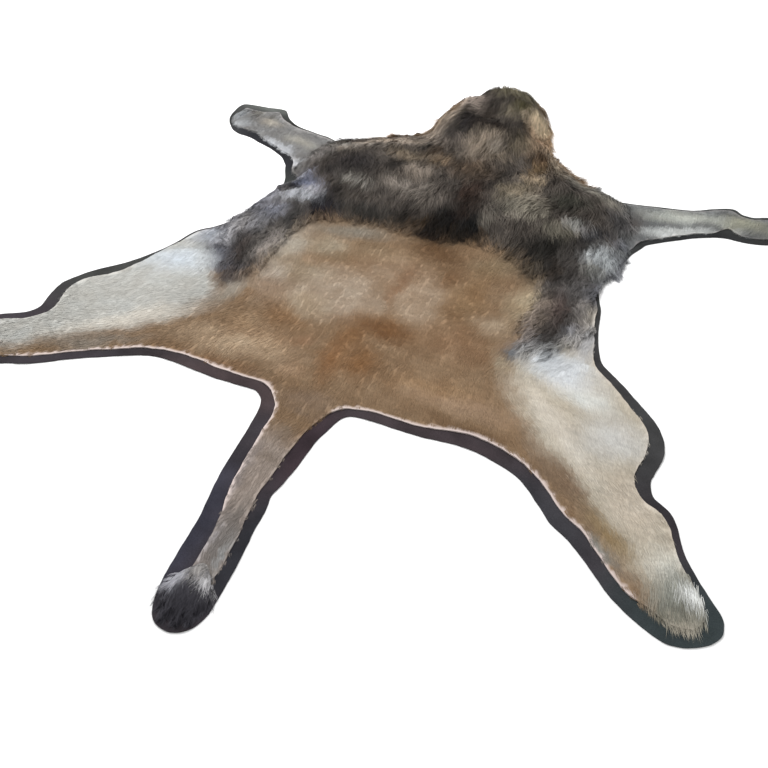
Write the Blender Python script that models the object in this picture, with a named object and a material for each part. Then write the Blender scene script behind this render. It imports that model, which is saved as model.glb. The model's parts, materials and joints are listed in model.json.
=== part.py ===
"""A lion skin rug, lying flat.

Four pieces lie one on another: a dark felt backing cut to the animal's outline, the dressed skin with
its short fur, the mane as a slab of shag with locks at its rim, and the tuft at the tail's end.

The animal's midline is the Y axis, with the head toward +Y and the tail toward -Y. The tables give X and
Y from the root of the tail, in millimetres. At the end, all pieces move so that the middle of the rug's
box is at the origin. The felt lies on Z = 0.
"""

import bmesh
import bpy
import numpy as np
from mathutils import Vector
from mathutils.geometry import delaunay_2d_cdt

MM = 0.001

FELT_THICKNESS = 3.0 * MM
GAP = 0.35 * MM
SKIN_EDGE_THICKNESS = 4.0 * MM
SKIN_THICKNESS = 11.0 * MM
SKIN_EDGE_ROUND = 26.0 * MM
OUTLINE_STEP = 30.0 * MM
SKIN_MESH_SIZE = 52.0 * MM
MANE_MESH_SIZE = 38.0 * MM
TUFT_MESH_SIZE = 15.0 * MM
RELIEF_FADE = 50.0 * MM
LOCK_PITCH = 50.0 * MM
TUFT_LOCK_PITCH = 19.0 * MM
LOCK_TIP_THICKNESS = 4.5 * MM
MANE_RIM_THICKNESS = 15.0 * MM
MANE_BODY_THICKNESS = 40.0 * MM
MANE_RIM_ROUND = 95.0 * MM
TUFT_RIM_THICKNESS = 10.0 * MM
TUFT_BODY_THICKNESS = 26.0 * MM
TUFT_RIM_ROUND = 32.0 * MM
DROOP_STARTS = 2.0 * MM
DROOP_ENDS = 46.0 * MM
FELT_CLEARANCE = 12.0 * MM
LOCK_FADE = 30.0 * MM

# Rows of even triangles lie this share of a triangle's side apart, and inner points keep this share of it
# away from the outline.
ROW_SHARE = 0.87
EDGE_SHARE = 0.42

# How far a lock reaches out at its four points, as shares of its length.
LOCK_STEPS = (0.0, 0.52, 1.0, 0.45)
# How locks differ from one to the next. Columns: size, change for each lock, start.
LOCK_WAVES = ((0.28, 2.4, 0), (0.16, 5.1, 1))
LOCK_SWAY = (0.35, 1.7, 0.6)
TAILWARD_LEAN = 0.6

# Lumps of the shag: their share of its thickness, and how fast they change along X and Y, per metre.
LUMP_SHARE = 0.14
LUMPS_ACROSS = 31
LUMPS_ALONG = 24
LUMPS_BEND = (3, 9)

# The felt's outline, counter-clockwise from the tip of the tail. Columns: x, y, and how far inside the
# felt's edge the skin's edge lies there.
FELT_OUTLINE = {
    "tail, right side": (
        (30, -711, 42), (70, -690, 40), (88, -644, 40), (86, -560, 34), (80, -494, 29), (70, -415, 28),
        (66, -345, 35), (57, -302, 31), (65, -262, 37), (73, -182, 43), (77, -100, 41), (90, -45, 40),
        (106, 2, 30), (150, 20, 28),
    ),
    "right hind leg, rear edge": (
        (300, 18, 32), (440, 27, 45), (550, 0, 42), (605, -30, 40), (652, -76, 40), (700, -124, 42),
        (750, -156, 42), (805, -205, 36), (870, -267, 36), (930, -304, 44),
    ),
    "right hind paw": (
        (1000, -331, 46), (1062, -313, 38), (1102, -272, 45), (1098, -224, 38), (1068, -186, 22),
    ),
    "right hind leg, front edge": (
        (1004, -98, 20), (974, -22, 20), (948, 19, 24), (904, 52, 30), (891, 95, 42), (906, 195, 43),
        (881, 281, 35), (800, 372, 32), (740, 430, 28), (688, 480, 24), (662, 545, 14), (641, 644, 14),
    ),
    "right flank": (
        (630, 720, 12), (608, 790, 12), (600, 850, 12), (622, 910, 12), (640, 980, 12),
    ),
    "right front leg, rear edge": (
        (655, 1040, 16), (672, 1082, 18), (690, 1122, 20), (750, 1172, 20), (830, 1229, 20), (900, 1264, 22),
    ),
    "right front paw": (
        (934, 1272, 56), (985, 1268, 32), (1055, 1280, 28), (1105, 1318, 25), (1125, 1372, 25),
        (1108, 1428, 25), (1062, 1458, 20), (1005, 1436, 18), (968, 1441, 16), (930, 1467, 18),
    ),
    "right front leg, top edge": (
        (862, 1437, 14), (800, 1402, 12), (700, 1382, 12), (600, 1364, 12), (525, 1358, 12),
    ),
    "right side of the neck": (
        (440, 1360, 12), (375, 1398, 12), (312, 1448, 12), (262, 1508, 12), (210, 1580, 12),
    ),
    "head": (
        (182, 1665, 12), (168, 1760, 12), (125, 1835, 12), (65, 1882, 12), (-5, 1898, 12),
        (-78, 1878, 12), (-130, 1820, 12), (-158, 1740, 12), (-178, 1650, 12), (-212, 1575, 12),
    ),
    "left side of the neck": (
        (-262, 1510, 12), (-325, 1462, 12), (-392, 1412, 12), (-458, 1370, 12), (-535, 1366, 12),
    ),
    "left front leg, top edge": (
        (-610, 1394, 12), (-740, 1424, 14), (-800, 1456, 22), (-838, 1492, 28),
    ),
    "left front paw": (
        (-880, 1540, 35), (-950, 1535, 52), (-1005, 1532, 48), (-1064, 1522, 42), (-1073, 1462, 35),
        (-1055, 1385, 20), (-1030, 1345, 22), (-1000, 1313, 32),
    ),
    "left front leg, rear edge": (
        (-955, 1287, 40), (-900, 1277, 44), (-850, 1256, 30), (-790, 1232, 25), (-740, 1205, 22),
        (-700, 1177, 32), (-665, 1135, 30), (-640, 1085, 26), (-618, 1042, 58),
    ),
    "left flank": (
        (-602, 985, 20), (-608, 920, 12), (-615, 840, 12), (-640, 745, 12), (-680, 670, 12), (-732, 612, 12),
        (-752, 540, 12), (-778, 470, 14),
    ),
    "left hind leg, front edge": (
        (-814, 405, 26), (-854, 350, 42), (-904, 297, 42), (-935, 250, 34), (-959, 195, 40), (-954, 125, 45),
        (-944, 75, 45), (-968, 32, 36), (-1031, -6, 30),
    ),
    "left hind paw": (
        (-1072, -60, 22), (-1108, -125, 22), (-1145, -172, 24), (-1162, -215, 40), (-1155, -262, 44),
        (-1115, -298, 38), (-1052, -312, 46), (-985, -280, 44), (-930, -222, 36),
    ),
    "left hind leg, rear edge": (
        (-876, -180, 32), (-800, -148, 30), (-700, -83, 28), (-600, -29, 28), (-540, 2, 28), (-480, 18, 30),
        (-390, 14, 38), (-300, 5, 35), (-205, 5, 34),
    ),
    "tail, left side": (
        (-155, 2, 32), (-128, -22, 36), (-114, -60, 40), (-106, -130, 40), (-98, -240, 40), (-86, -335, 41),
        (-70, -410, 48), (-63, -490, 53), (-54, -580, 49), (-40, -652, 42), (-14, -698, 40),
    ),
}

# The line that the mane's rim locks grow from, counter-clockwise. Columns: x, y, length of a lock.
MANE_RIM = {
    "right flank": (
        (455, 485, 36), (500, 460, 52), (552, 490, 52), (590, 540, 42), (616, 592, 28), (620, 660, 22),
        (608, 725, 24), (592, 790, 26), (588, 850, 34), (610, 905, 40), (630, 960, 38), (634, 1015, 28),
    ),
    "right shoulder": (
        (612, 1070, 34), (600, 1140, 42), (600, 1215, 42), (588, 1285, 38), (545, 1330, 30),
    ),
    "right side of the neck": (
        (460, 1368, 42), (385, 1412, 42), (322, 1462, 40), (276, 1522, 36), (224, 1592, 32),
    ),
    "head": (
        (196, 1680, 28), (182, 1768, 26), (138, 1850, 26), (72, 1902, 26), (-4, 1920, 26),
        (-84, 1898, 26), (-142, 1834, 26), (-172, 1750, 26), (-190, 1662, 28), (-222, 1588, 32),
    ),
    "left side of the neck": (
        (-270, 1528, 36), (-334, 1478, 42), (-400, 1428, 42), (-462, 1386, 38), (-530, 1352, 26),
    ),
    "left shoulder": (
        (-572, 1300, 40), (-586, 1225, 44), (-590, 1150, 42), (-582, 1085, 28), (-548, 1036, 16),
    ),
    "left flank": (
        (-580, 985, 34), (-590, 915, 40), (-590, 845, 40), (-606, 775, 42), (-622, 710, 46), (-614, 645, 50),
        (-576, 575, 55), (-526, 505, 55), (-482, 455, 50), (-442, 480, 36),
    ),
    "edge over the back": (
        (-425, 560, 26), (-428, 660, 26), (-425, 755, 30), (-385, 828, 34), (-300, 872, 38), (-200, 896, 40),
        (-80, 886, 40), (40, 900, 40), (140, 912, 40), (250, 895, 36), (352, 842, 34), (424, 768, 30),
        (446, 670, 26), (434, 560, 26),
    ),
}

# The line that the tuft's locks grow from, counter-clockwise. Columns: x, y, length of a lock.
TUFT_RIM = (
    (24, -660, 38), (54, -650, 32), (72, -618, 14), (66, -584, 9), (46, -556, 8), (18, -544, 7),
    (-10, -558, 8), (-28, -588, 11), (-24, -624, 14), (-4, -652, 30),
)

# Swellings of the mane. Columns: x, y, half width, half length, rise, and how much steeper its rim is
# there, from 0 to 1.
MANE_HUMPS = {
    "crown": (-40, 1745, 310, 190, 54, 0.5),
    "right brow of the crown": (85, 1765, 120, 130, 26, 0.25),
    "roll of the neck": (20, 1560, 300, 130, 42, 0),
    "valley before the crown": (20, 1660, 200, 60, -46, 0),
    "left shoulder": (-330, 1230, 260, 210, 18, 0),
    "right shoulder": (350, 1200, 260, 210, 16, 0),
    "withers": (30, 1120, 330, 240, 14, 0),
    "furrow left of the neck": (-200, 1400, 70, 190, -16, 0),
    "furrow right of the neck": (250, 1380, 70, 180, -16, 0),
    "left flank": (-530, 800, 120, 330, -12, 0),
    "right flank": (530, 760, 110, 330, -14, 0),
}

# Swellings and creases of the skin. Columns: x, y, half width, half length, turn in degrees, rise.
SKIN_RELIEF = {
    "white hair of the left thigh": (-690, 330, 150, 260, 20, 9),
    "white hair of the right thigh": (640, 250, 150, 230, -28, 9),
    "tufts of the right hind paw": (1000, -215, 75, 95, 25, 10),
    "tufts of the left hind paw": (-1060, -225, 75, 95, -25, 9),
    "toes of the left front paw": (-985, 1415, 50, 62, 0, 8),
    "toes of the right front paw": (1030, 1365, 50, 62, 0, 8),
    "crease of the left thigh": (-880, 90, 26, 150, -58, -4),
    "crease of the right thigh": (790, 60, 26, 160, 55, -4),
    "hollow of the rump": (-20, 160, 60, 200, 0, -2.5),
    "ripple left of the rump": (-250, 330, 60, 210, 35, -2.5),
    "ripple right of the rump": (250, 300, 60, 220, -30, -2.5),
    "ripple over the back": (30, 700, 260, 45, 0, -2),
}

MATERIALS = {
    "felt": ((0.036, 0.031, 0.035), 0.97),
    "short fur": ((0.38, 0.24, 0.14), 0.85),
    "mane hair": ((0.085, 0.070, 0.060), 0.75),
    "tuft hair": ((0.030, 0.022, 0.020), 0.75),
}


def rows_of(sections):
    """The rows of all sections of a table, with lengths in metres."""
    return np.array([row for rows in sections.values() for row in rows]) * MM


def smooth_loop(rows, step):
    """A closed Catmull-Rom curve through the rows, all columns alike, with a point about every step."""
    found = []
    for index in range(len(rows)):
        before, start, end, after = (rows[(index + offset) % len(rows)] for offset in (-1, 0, 1, 2))
        pieces = max(1, round(np.linalg.norm(end[:2] - start[:2]) / step))
        for t in np.arange(pieces) / pieces:
            bend = (2 * before - 5 * start + 4 * end - after) * t**2
            twist = (3 * start - before - 3 * end + after) * t**3
            found.append(start + 0.5 * ((end - before) * t + bend + twist))
    return np.array(found)


def outward_normals(loop):
    """A unit vector for each point of a counter-clockwise loop, out of it."""
    along = np.roll(loop[:, :2], -1, axis=0) - np.roll(loop[:, :2], 1, axis=0)
    out = np.column_stack([along[:, 1], -along[:, 0]])
    return out / np.linalg.norm(out, axis=1, keepdims=True)


def depth_inside(points, loop):
    """How far each point lies inside the loop, negative outside it."""
    start = loop[:, :2]
    end = np.roll(start, -1, axis=0)
    span = end - start
    offset = points[:, None, :] - start[None]
    share = np.clip((offset * span).sum(-1) / (span**2).sum(-1), 0, 1)
    distance = np.linalg.norm(offset - share[..., None] * span, axis=-1).min(axis=1)
    crosses = (start[:, 1] > points[:, None, 1]) != (end[:, 1] > points[:, None, 1])
    rise = np.where(np.abs(span[:, 1]) < 1e-12, 1e-12, span[:, 1])
    at_x = start[:, 0] + (points[:, None, 1] - start[:, 1]) / rise * span[:, 0]
    odd = (crosses & (points[:, None, 0] < at_x)).sum(axis=1) % 2 == 1
    return np.where(odd, distance, -distance)


def smoothstep(values):
    """From 0 to 1, flat at both ends."""
    share = np.clip(values, 0, 1)
    return share * share * (3 - 2 * share)


def bell(points, x, y, half_width, half_length, degrees=0.0):
    """1 in the middle third of a turned ellipse, falling to 0 at its rim."""
    turn = np.radians(degrees)
    offset = points - np.array([x, y])
    across = offset[:, 0] * np.cos(turn) + offset[:, 1] * np.sin(turn)
    along = offset[:, 1] * np.cos(turn) - offset[:, 0] * np.sin(turn)
    reach = np.hypot(across / half_width, along / half_length)
    return smoothstep((1 - reach) * 1.5)


def locks_on(rim, pitch):
    """The outline of a rim with a pointed lock every pitch. The locks lean toward the tail, unevenly."""
    line = smooth_loop(rim, pitch / 4)
    count = len(line) // 4
    line = line[: count * 4]
    out = outward_normals(line)
    along = np.column_stack([-out[:, 1], out[:, 0]])
    lift = np.tile(LOCK_STEPS, count)
    lock = np.repeat(np.arange(count), 4)
    uneven = 1 + sum(size * np.sin(lock * change + start) for size, change, start in LOCK_WAVES)
    size, change, start = LOCK_SWAY
    sweep = size * np.sin(lock * change + start) - TAILWARD_LEAN * along[:, 1]
    reach = line[:, 2] * lift * uneven
    return line[:, :2] + out * reach[:, None] + along * (reach * sweep)[:, None]


def meshed(outline, size):
    """Points and triangles that fill an outline: the outline's points first, then rows of inner ones."""
    low = outline.min(axis=0)
    high = outline.max(axis=0)
    rows = np.arange(low[1], high[1], size * ROW_SHARE)
    inner = []
    for number, y in enumerate(rows):
        start = low[0] + size / 2 * (number % 2)
        inner += [(x, y) for x in np.arange(start, high[0], size)]
    inner = np.array(inner)
    inner = inner[depth_inside(inner, outline) > size * EDGE_SHARE]
    points = [Vector(point) for point in np.vstack([outline, inner])]
    loop = list(range(len(outline)))
    placed, _, faces, *_ = delaunay_2d_cdt(points, [], [loop], 0, 1e-6, False)
    placed = np.array([tuple(point) for point in placed])
    middles = placed[np.array(faces)].mean(axis=1)
    return placed, np.array(faces)[depth_inside(middles, outline) > 0].tolist()


def solid_between(name, points, faces, bottom, top, material):
    """A closed solid over the triangles, from the heights bottom to the heights top."""
    mesh = bmesh.new()
    lower = [mesh.verts.new((x, y, z)) for (x, y), z in zip(points, bottom)]
    flat = [mesh.faces.new([lower[index] for index in face]) for face in faces]
    raised = bmesh.ops.extrude_face_region(mesh, geom=flat, use_keep_orig=True)["geom"]
    upper = [item for item in raised if isinstance(item, bmesh.types.BMVert)]
    height = {(round(x, 6), round(y, 6)): z for (x, y), z in zip(points, top)}
    for vertex in upper:
        vertex.co.z = height[(round(vertex.co.x, 6), round(vertex.co.y, 6))]
    bmesh.ops.recalc_face_normals(mesh, faces=mesh.faces)
    data = bpy.data.meshes.new(name)
    mesh.to_mesh(data)
    mesh.free()
    return add_object(name, data, material)


def add_object(name, data, material):
    """A new object in the rug's collection, with its material."""
    data.materials.append(bpy.data.materials[material])
    made = bpy.data.objects.new(name, data)
    bpy.data.collections["lion skin rug"].objects.link(made)
    return made


def flat_sheet(name, outline, thickness, material):
    """A sheet of this outline, lying on Z = 0: a filled curve with half its thickness on each side."""
    curve = bpy.data.curves.new(name, "CURVE")
    curve.dimensions = "2D"
    curve.fill_mode = "BOTH"
    curve.extrude = thickness / 2
    spline = curve.splines.new("POLY")
    spline.points.add(len(outline) - 1)
    for point, (x, y) in zip(spline.points, outline):
        point.co = (x, y, 0, 1)
    spline.use_cyclic_u = True
    made = add_object(name, curve, material)
    made.location.z = thickness / 2
    return made


def felt_outline():
    """The felt's cut edge."""
    return smooth_loop(rows_of(FELT_OUTLINE), OUTLINE_STEP)[:, :2]


def skin_outline():
    """The skin's edge: the felt's rows, each moved inward by its own border."""
    rows = rows_of(FELT_OUTLINE)
    edge = rows[:, :2] - outward_normals(rows) * rows[:, 2:]
    return smooth_loop(edge, OUTLINE_STEP)


def felt_backing():
    """The felt: one flat sheet, cut to the animal's outline."""
    return flat_sheet("felt_backing", felt_outline(), FELT_THICKNESS, "felt")


def skin():
    """The dressed skin with its short fur: rounded at its edge, with swellings and soft creases."""
    outline = skin_outline()
    points, faces = meshed(outline, SKIN_MESH_SIZE)
    depth = depth_inside(points, outline)
    depth[: len(outline)] = 0
    full = SKIN_THICKNESS - SKIN_EDGE_THICKNESS
    height = SKIN_EDGE_THICKNESS + full * smoothstep(depth / SKIN_EDGE_ROUND)
    past_mane = -depth_inside(points, mane_line())
    clear_of_mane = smoothstep((past_mane - SKIN_MESH_SIZE) / RELIEF_FADE)
    for x, y, half_width, half_length, degrees, rise in SKIN_RELIEF.values():
        shape = bell(points, x * MM, y * MM, half_width * MM, half_length * MM, degrees)
        height += rise * MM * shape * clear_of_mane * smoothstep(depth / SKIN_EDGE_ROUND)
    bottom = np.full(len(points), FELT_THICKNESS + GAP)
    return solid_between("skin", points, faces, bottom, bottom + height, "short fur")


def mane_line():
    """The mane's rim with its locks, as an outline."""
    return locks_on(rows_of(MANE_RIM), LOCK_PITCH)


def underside(points):
    """How high hair lies: on the skin, drooping to the felt past its edge, and to the floor past the felt."""
    past_skin = -depth_inside(points, skin_outline())
    past_felt = -depth_inside(points, felt_outline())
    on_skin = FELT_THICKNESS + SKIN_THICKNESS + 2 * GAP
    lowest = GAP + FELT_THICKNESS * (1 - smoothstep((past_felt - DROOP_STARTS) / FELT_CLEARANCE))
    droop = smoothstep((past_skin - DROOP_STARTS) / (DROOP_ENDS - DROOP_STARTS))
    return on_skin + (lowest - on_skin) * droop


def shag(name, rim, pitch, size, rim_thickness, body_thickness, rim_round, humps, material):
    """A lumpy slab of hair with locks at its rim."""
    line = smooth_loop(rim, OUTLINE_STEP)[:, :2]
    points, faces = meshed(locks_on(rim, pitch), size)
    bottom = underside(points)
    depth = depth_inside(points, line)
    lock = smoothstep(-depth / LOCK_FADE)
    rim_height = rim_thickness + (LOCK_TIP_THICKNESS - rim_thickness) * lock
    body = np.full(len(points), body_thickness)
    rounding = np.full(len(points), rim_round)
    for x, y, half_width, half_length, rise, steepness in humps:
        shape = bell(points, x * MM, y * MM, half_width * MM, half_length * MM)
        body += rise * MM * shape
        rounding *= 1 - steepness * shape
    bend, change = LUMPS_BEND
    bent = points[:, 0] * LUMPS_ACROSS + bend * np.sin(points[:, 1] * change)
    body += np.sin(bent) * np.sin(points[:, 1] * LUMPS_ALONG) * LUMP_SHARE * body_thickness
    height = rim_height + (body - rim_thickness) * smoothstep(depth / rounding)
    return solid_between(name, points, faces, bottom, bottom + height, material)


def mane():
    """The hair of the head, neck, shoulders and flanks."""
    return shag(
        "mane", rows_of(MANE_RIM), LOCK_PITCH, MANE_MESH_SIZE, MANE_RIM_THICKNESS,
        MANE_BODY_THICKNESS, MANE_RIM_ROUND, MANE_HUMPS.values(), "mane hair",
    )


def tail_tuft():
    """The brush at the end of the tail."""
    return shag(
        "tail_tuft", np.array(TUFT_RIM) * MM, TUFT_LOCK_PITCH, TUFT_MESH_SIZE, TUFT_RIM_THICKNESS,
        TUFT_BODY_THICKNESS, TUFT_RIM_ROUND, (), "tuft hair",
    )


def clear_scene():
    """Empties the scene and makes the rug's collection and materials."""
    for item in list(bpy.data.objects):
        bpy.data.objects.remove(item)
    collection = bpy.data.collections.new("lion skin rug")
    bpy.context.scene.collection.children.link(collection)
    for name, (colour, roughness) in MATERIALS.items():
        material = bpy.data.materials.new(name)
        material.use_nodes = True
        shader = material.node_tree.nodes["Principled BSDF"]
        shader.inputs["Base Color"].default_value = (*colour, 1)
        shader.inputs["Roughness"].default_value = roughness
        shader.inputs["Metallic"].default_value = 0


def centre_on_origin(pieces):
    """Moves all pieces so that the middle of their common box is at X = Y = 0."""
    bpy.context.view_layer.update()
    corners = [piece.matrix_world @ Vector(corner) for piece in pieces for corner in piece.bound_box]
    middle = (np.min(corners, axis=0) + np.max(corners, axis=0)) / 2
    for piece in pieces:
        piece.location.x -= middle[0]
        piece.location.y -= middle[1]


def main():
    clear_scene()
    centre_on_origin([felt_backing(), skin(), mane(), tail_tuft()])


main()
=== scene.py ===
"""Dresses a lion skin rug: felt backing, hide with short fur, mane, tail tuft, and a plain pale stage.

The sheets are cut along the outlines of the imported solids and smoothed. Hair is laid by Geometry Nodes:
small locks are set on a sheet, turned along the coat's flow, and dropped on whatever lies under them.
Tables give places in millimetres from the root of the tail, with +Y toward the head.
"""

import json
import math

import bmesh
import bpy
import numpy as np
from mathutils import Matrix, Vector, noise
from mathutils.bvhtree import BVHTree
from mathutils.geometry import delaunay_2d_cdt

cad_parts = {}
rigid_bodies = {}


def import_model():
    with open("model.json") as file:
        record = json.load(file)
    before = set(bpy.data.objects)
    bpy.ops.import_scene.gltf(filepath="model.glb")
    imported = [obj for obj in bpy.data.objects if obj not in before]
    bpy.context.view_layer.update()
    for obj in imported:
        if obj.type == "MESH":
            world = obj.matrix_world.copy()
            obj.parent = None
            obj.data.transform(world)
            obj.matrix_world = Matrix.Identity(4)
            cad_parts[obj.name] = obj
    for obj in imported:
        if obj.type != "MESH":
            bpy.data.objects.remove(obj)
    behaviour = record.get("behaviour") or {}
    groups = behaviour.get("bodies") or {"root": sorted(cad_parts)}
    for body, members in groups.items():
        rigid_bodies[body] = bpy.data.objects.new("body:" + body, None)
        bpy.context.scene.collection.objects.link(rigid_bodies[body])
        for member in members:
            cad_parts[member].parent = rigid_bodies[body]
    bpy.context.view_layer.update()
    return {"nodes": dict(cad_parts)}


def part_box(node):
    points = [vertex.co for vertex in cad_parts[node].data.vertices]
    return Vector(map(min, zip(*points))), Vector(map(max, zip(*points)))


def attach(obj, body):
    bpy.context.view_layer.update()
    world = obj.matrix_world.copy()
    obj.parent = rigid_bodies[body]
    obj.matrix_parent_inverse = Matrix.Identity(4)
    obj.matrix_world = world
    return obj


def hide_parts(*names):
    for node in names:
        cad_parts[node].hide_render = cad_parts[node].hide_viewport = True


bl_info = {
    "name": "Lion skin rug",
    "version": (1, 0, 0),
    "blender": (4, 5, 0),
    "location": "3D View > Sidebar > Lion rug",
    "description": "Felt backing, hide, short fur, mane and tail tuft of a lion skin rug",
    "category": "Object",
}

MM = 0.001

# Distances between points of an outline, and sizes of the triangles of the sheets. The step of an area's
# outline is in the tables' millimetres.
OUTLINE_STEP = 8 * MM
MANE_OUTLINE_STEP = 12 * MM
TUFT_OUTLINE_STEP = 6 * MM
AREA_OUTLINE_STEP = 20
FELT_MESH_SIZE = 32 * MM
HIDE_MESH_SIZE = 14 * MM
MANE_MESH_SIZE = 17 * MM
TUFT_MESH_SIZE = 8 * MM

# Rows of even triangles lie this share of a triangle's side apart, and inner points keep this share of it
# away from the outline.
ROW_SHARE = 0.87
EDGE_SHARE = 0.45

# How much of its own height a point keeps in each round of evening out.
KEPT_SHARE = 0.35
# Distances are worked out in lots of about this many points, to save memory.
POINTS_AT_ONCE = 2000

# A patch of colour fades out this many times its half width and half length from its middle, and the rims
# of patches and areas stray in waves of this size, in metres.
PATCH_REACH = 1.25
STRAY_SIZE = 0.09
# How steeply the other patches end: those that add up, and those of which the greatest counts.
SOFT_END = 1.6
STEEP_END = 4
# Added to the distance from each row of the flow, in millimetres, so that near rows count almost alike.
FLOW_BLUR = 40
# Where along a lock its colour is taken from the coat.
COLOUR_PLACE = 0.45

# The form under the mane's hair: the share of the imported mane's thickness that it fills, how much more of
# it where the mane is full, and in millimetres how far from its rim it rises, and how much less far where
# the mane is full.
MANE_FILL = 0.84
MANE_FULL_FILL = 0.12
MANE_ROUND = 42
MANE_FULL_ROUND = 28
# The strip outside a form that its outermost locks lie on starts this far inside the form's rim, and has
# this many rows of points.
SLOPE_INSET = 14 * MM
SLOPE_ROWS = 6

# The camera: its place from the root of the tail in metres and its angles in degrees, from a fit to the
# photograph, and its lens in millimetres, which was set.
CAMERA_PLACE = (0.818, -1.402)
CAMERA_TILT = 90 - 43.207
CAMERA_TURN = 23.0
CAMERA_LENS = 39.84
# The soft lamp: its place and the length of its side, in metres.
LAMP_PLACE = (-1.6, 1.6, 3.2)
LAMP_SIZE = 2.6

# Faces whose normals have a Z of at most this, up or down, count as upright.
UPRIGHT = 0.02
# How long the waves are in which a cut edge strays, in metres, and how far the hide's edge strays.
CUT_WAVES = 0.05
HIDE_STRAY = 3.0 * MM
# The felt's free border has its full ripple this far past the skin and this far past the mane.
FREE_PAST_SKIN = 22 * MM
FREE_PAST_MANE = 60 * MM
# The hide's unevenness is full this far inside its cut edge and this far outside the mane.
UNEVEN_INSIDE = 30 * MM
UNEVEN_PAST_MANE = 40 * MM
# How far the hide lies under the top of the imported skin, which has its hair in it, and its least thickness.
HAIR_ON_HIDE = 2.2 * MM
LEAST_HIDE = 1.2 * MM
# Width of the raw line where no stretch of BARE_EDGES widens it, in millimetres, and how softly it ends.
LEAST_RAW = 0.6
RAW_FADE = 3 * MM
# How far the rims of the coat's patches stray. The seam between mane and short fur: how far it strays, in
# millimetres, and how wide it is.
COAT_STRAY = 26 * MM
SEAM_STRAY = 16
SEAM_WIDTH = 80 * MM
# The tuft is narrower by this share at its root, and has its full width this far on.
TUFT_NARROWING = 0.4
TUFT_NECK = 90 * MM

# Smooth unevenness, as rows of strength, size of the waves in metres, and seed.
FELT_WAVES = ((1, 0.09, 5), (0.5, 0.03, 6))
HIDE_WAVES = ((1, 0.07, 21), (0.6, 0.03, 22))
MANE_WAVES = ((1, 0.10, 51), (0.7, 0.045, 52))
COAT_WAVES = ((1, 0.07, 31), (1, 0.035, 32), (0.6, 0.016, 35))
SEAM_WAVES = ((1, 0.05, 33), (0.6, 0.018, 34))

# Seeds of the layers of locks.
SHORT_FUR_SEEDS = (3, 8, 21)
MANE_SEEDS = (5, 12, 33)
TUFT_SEED = 9

# Powers of the place along a hair, from 0 at its root to 1 at its tip: for the darkness at the root and for
# the lightness at the tip. Then its least roughness, and how much more a strand may have.
ROOT_POWER = 0.6
TIP_POWER = 3.0
LEAST_ROUGHNESS = 0.52
ROUGHNESS_RANGE = 0.2

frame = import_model()
FELT_LOW, FELT_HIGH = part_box("felt_backing")
SKIN_LOW, SKIN_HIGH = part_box("skin")

# The root of the tail lies this far from the low corner of the felt's box.
TAIL_ROOT = np.array([FELT_LOW.x + 1162 * MM, FELT_LOW.y + 711 * MM])

# Tints of the felt. Columns: x, y, half width, half length, turn in degrees, softness of the rim from 0
# to 1, strength, colour.
FELT_PATCHES = (
    ("green front half", 0, 1500, 1500, 1300, 0, 0.6, 0.8, (0.034, 0.038, 0.034)),
    ("brown behind the rump", -230, 0, 330, 90, 0, 0.7, 0.9, (0.050, 0.036, 0.037)),
    ("brown behind the right thigh", 330, 20, 300, 90, 0, 0.7, 0.8, (0.044, 0.033, 0.036)),
    ("blue left of the tail", -70, -440, 60, 230, 6, 0.7, 0.9, (0.036, 0.036, 0.051)),
    ("brown right of the tail", 60, -130, 60, 190, 0, 0.7, 0.9, (0.036, 0.024, 0.029)),
    ("blue right of the tail", 70, -470, 50, 170, 0, 0.7, 0.9, (0.026, 0.027, 0.033)),
    ("blue below the right leg", 680, -110, 190, 80, -35, 0.7, 0.8, (0.036, 0.036, 0.041)),
    ("green round the right hind paw", 1020, -260, 190, 150, 0, 0.7, 0.9, (0.036, 0.048, 0.050)),
    ("green above the right thigh", 850, 250, 200, 250, 0, 0.7, 0.8, (0.040, 0.041, 0.041)),
    ("green above the left thigh", -900, 350, 200, 250, 0, 0.7, 0.8, (0.040, 0.042, 0.039)),
    ("lit felt of the left front paw", -950, 1540, 130, 45, 0, 0.7, 0.9, (0.100, 0.105, 0.098)),
    ("black felt of the left front leg", -780, 1230, 340, 110, -30, 0.7, 1.0, (0.014, 0.014, 0.017)),
    ("black felt before the left front leg", -700, 1400, 190, 50, -20, 0.7, 1.0, (0.012, 0.011, 0.010)),
    ("dark felt of the right front leg", 850, 1200, 300, 110, 20, 0.7, 0.9, (0.018, 0.019, 0.020)),
)

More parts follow.
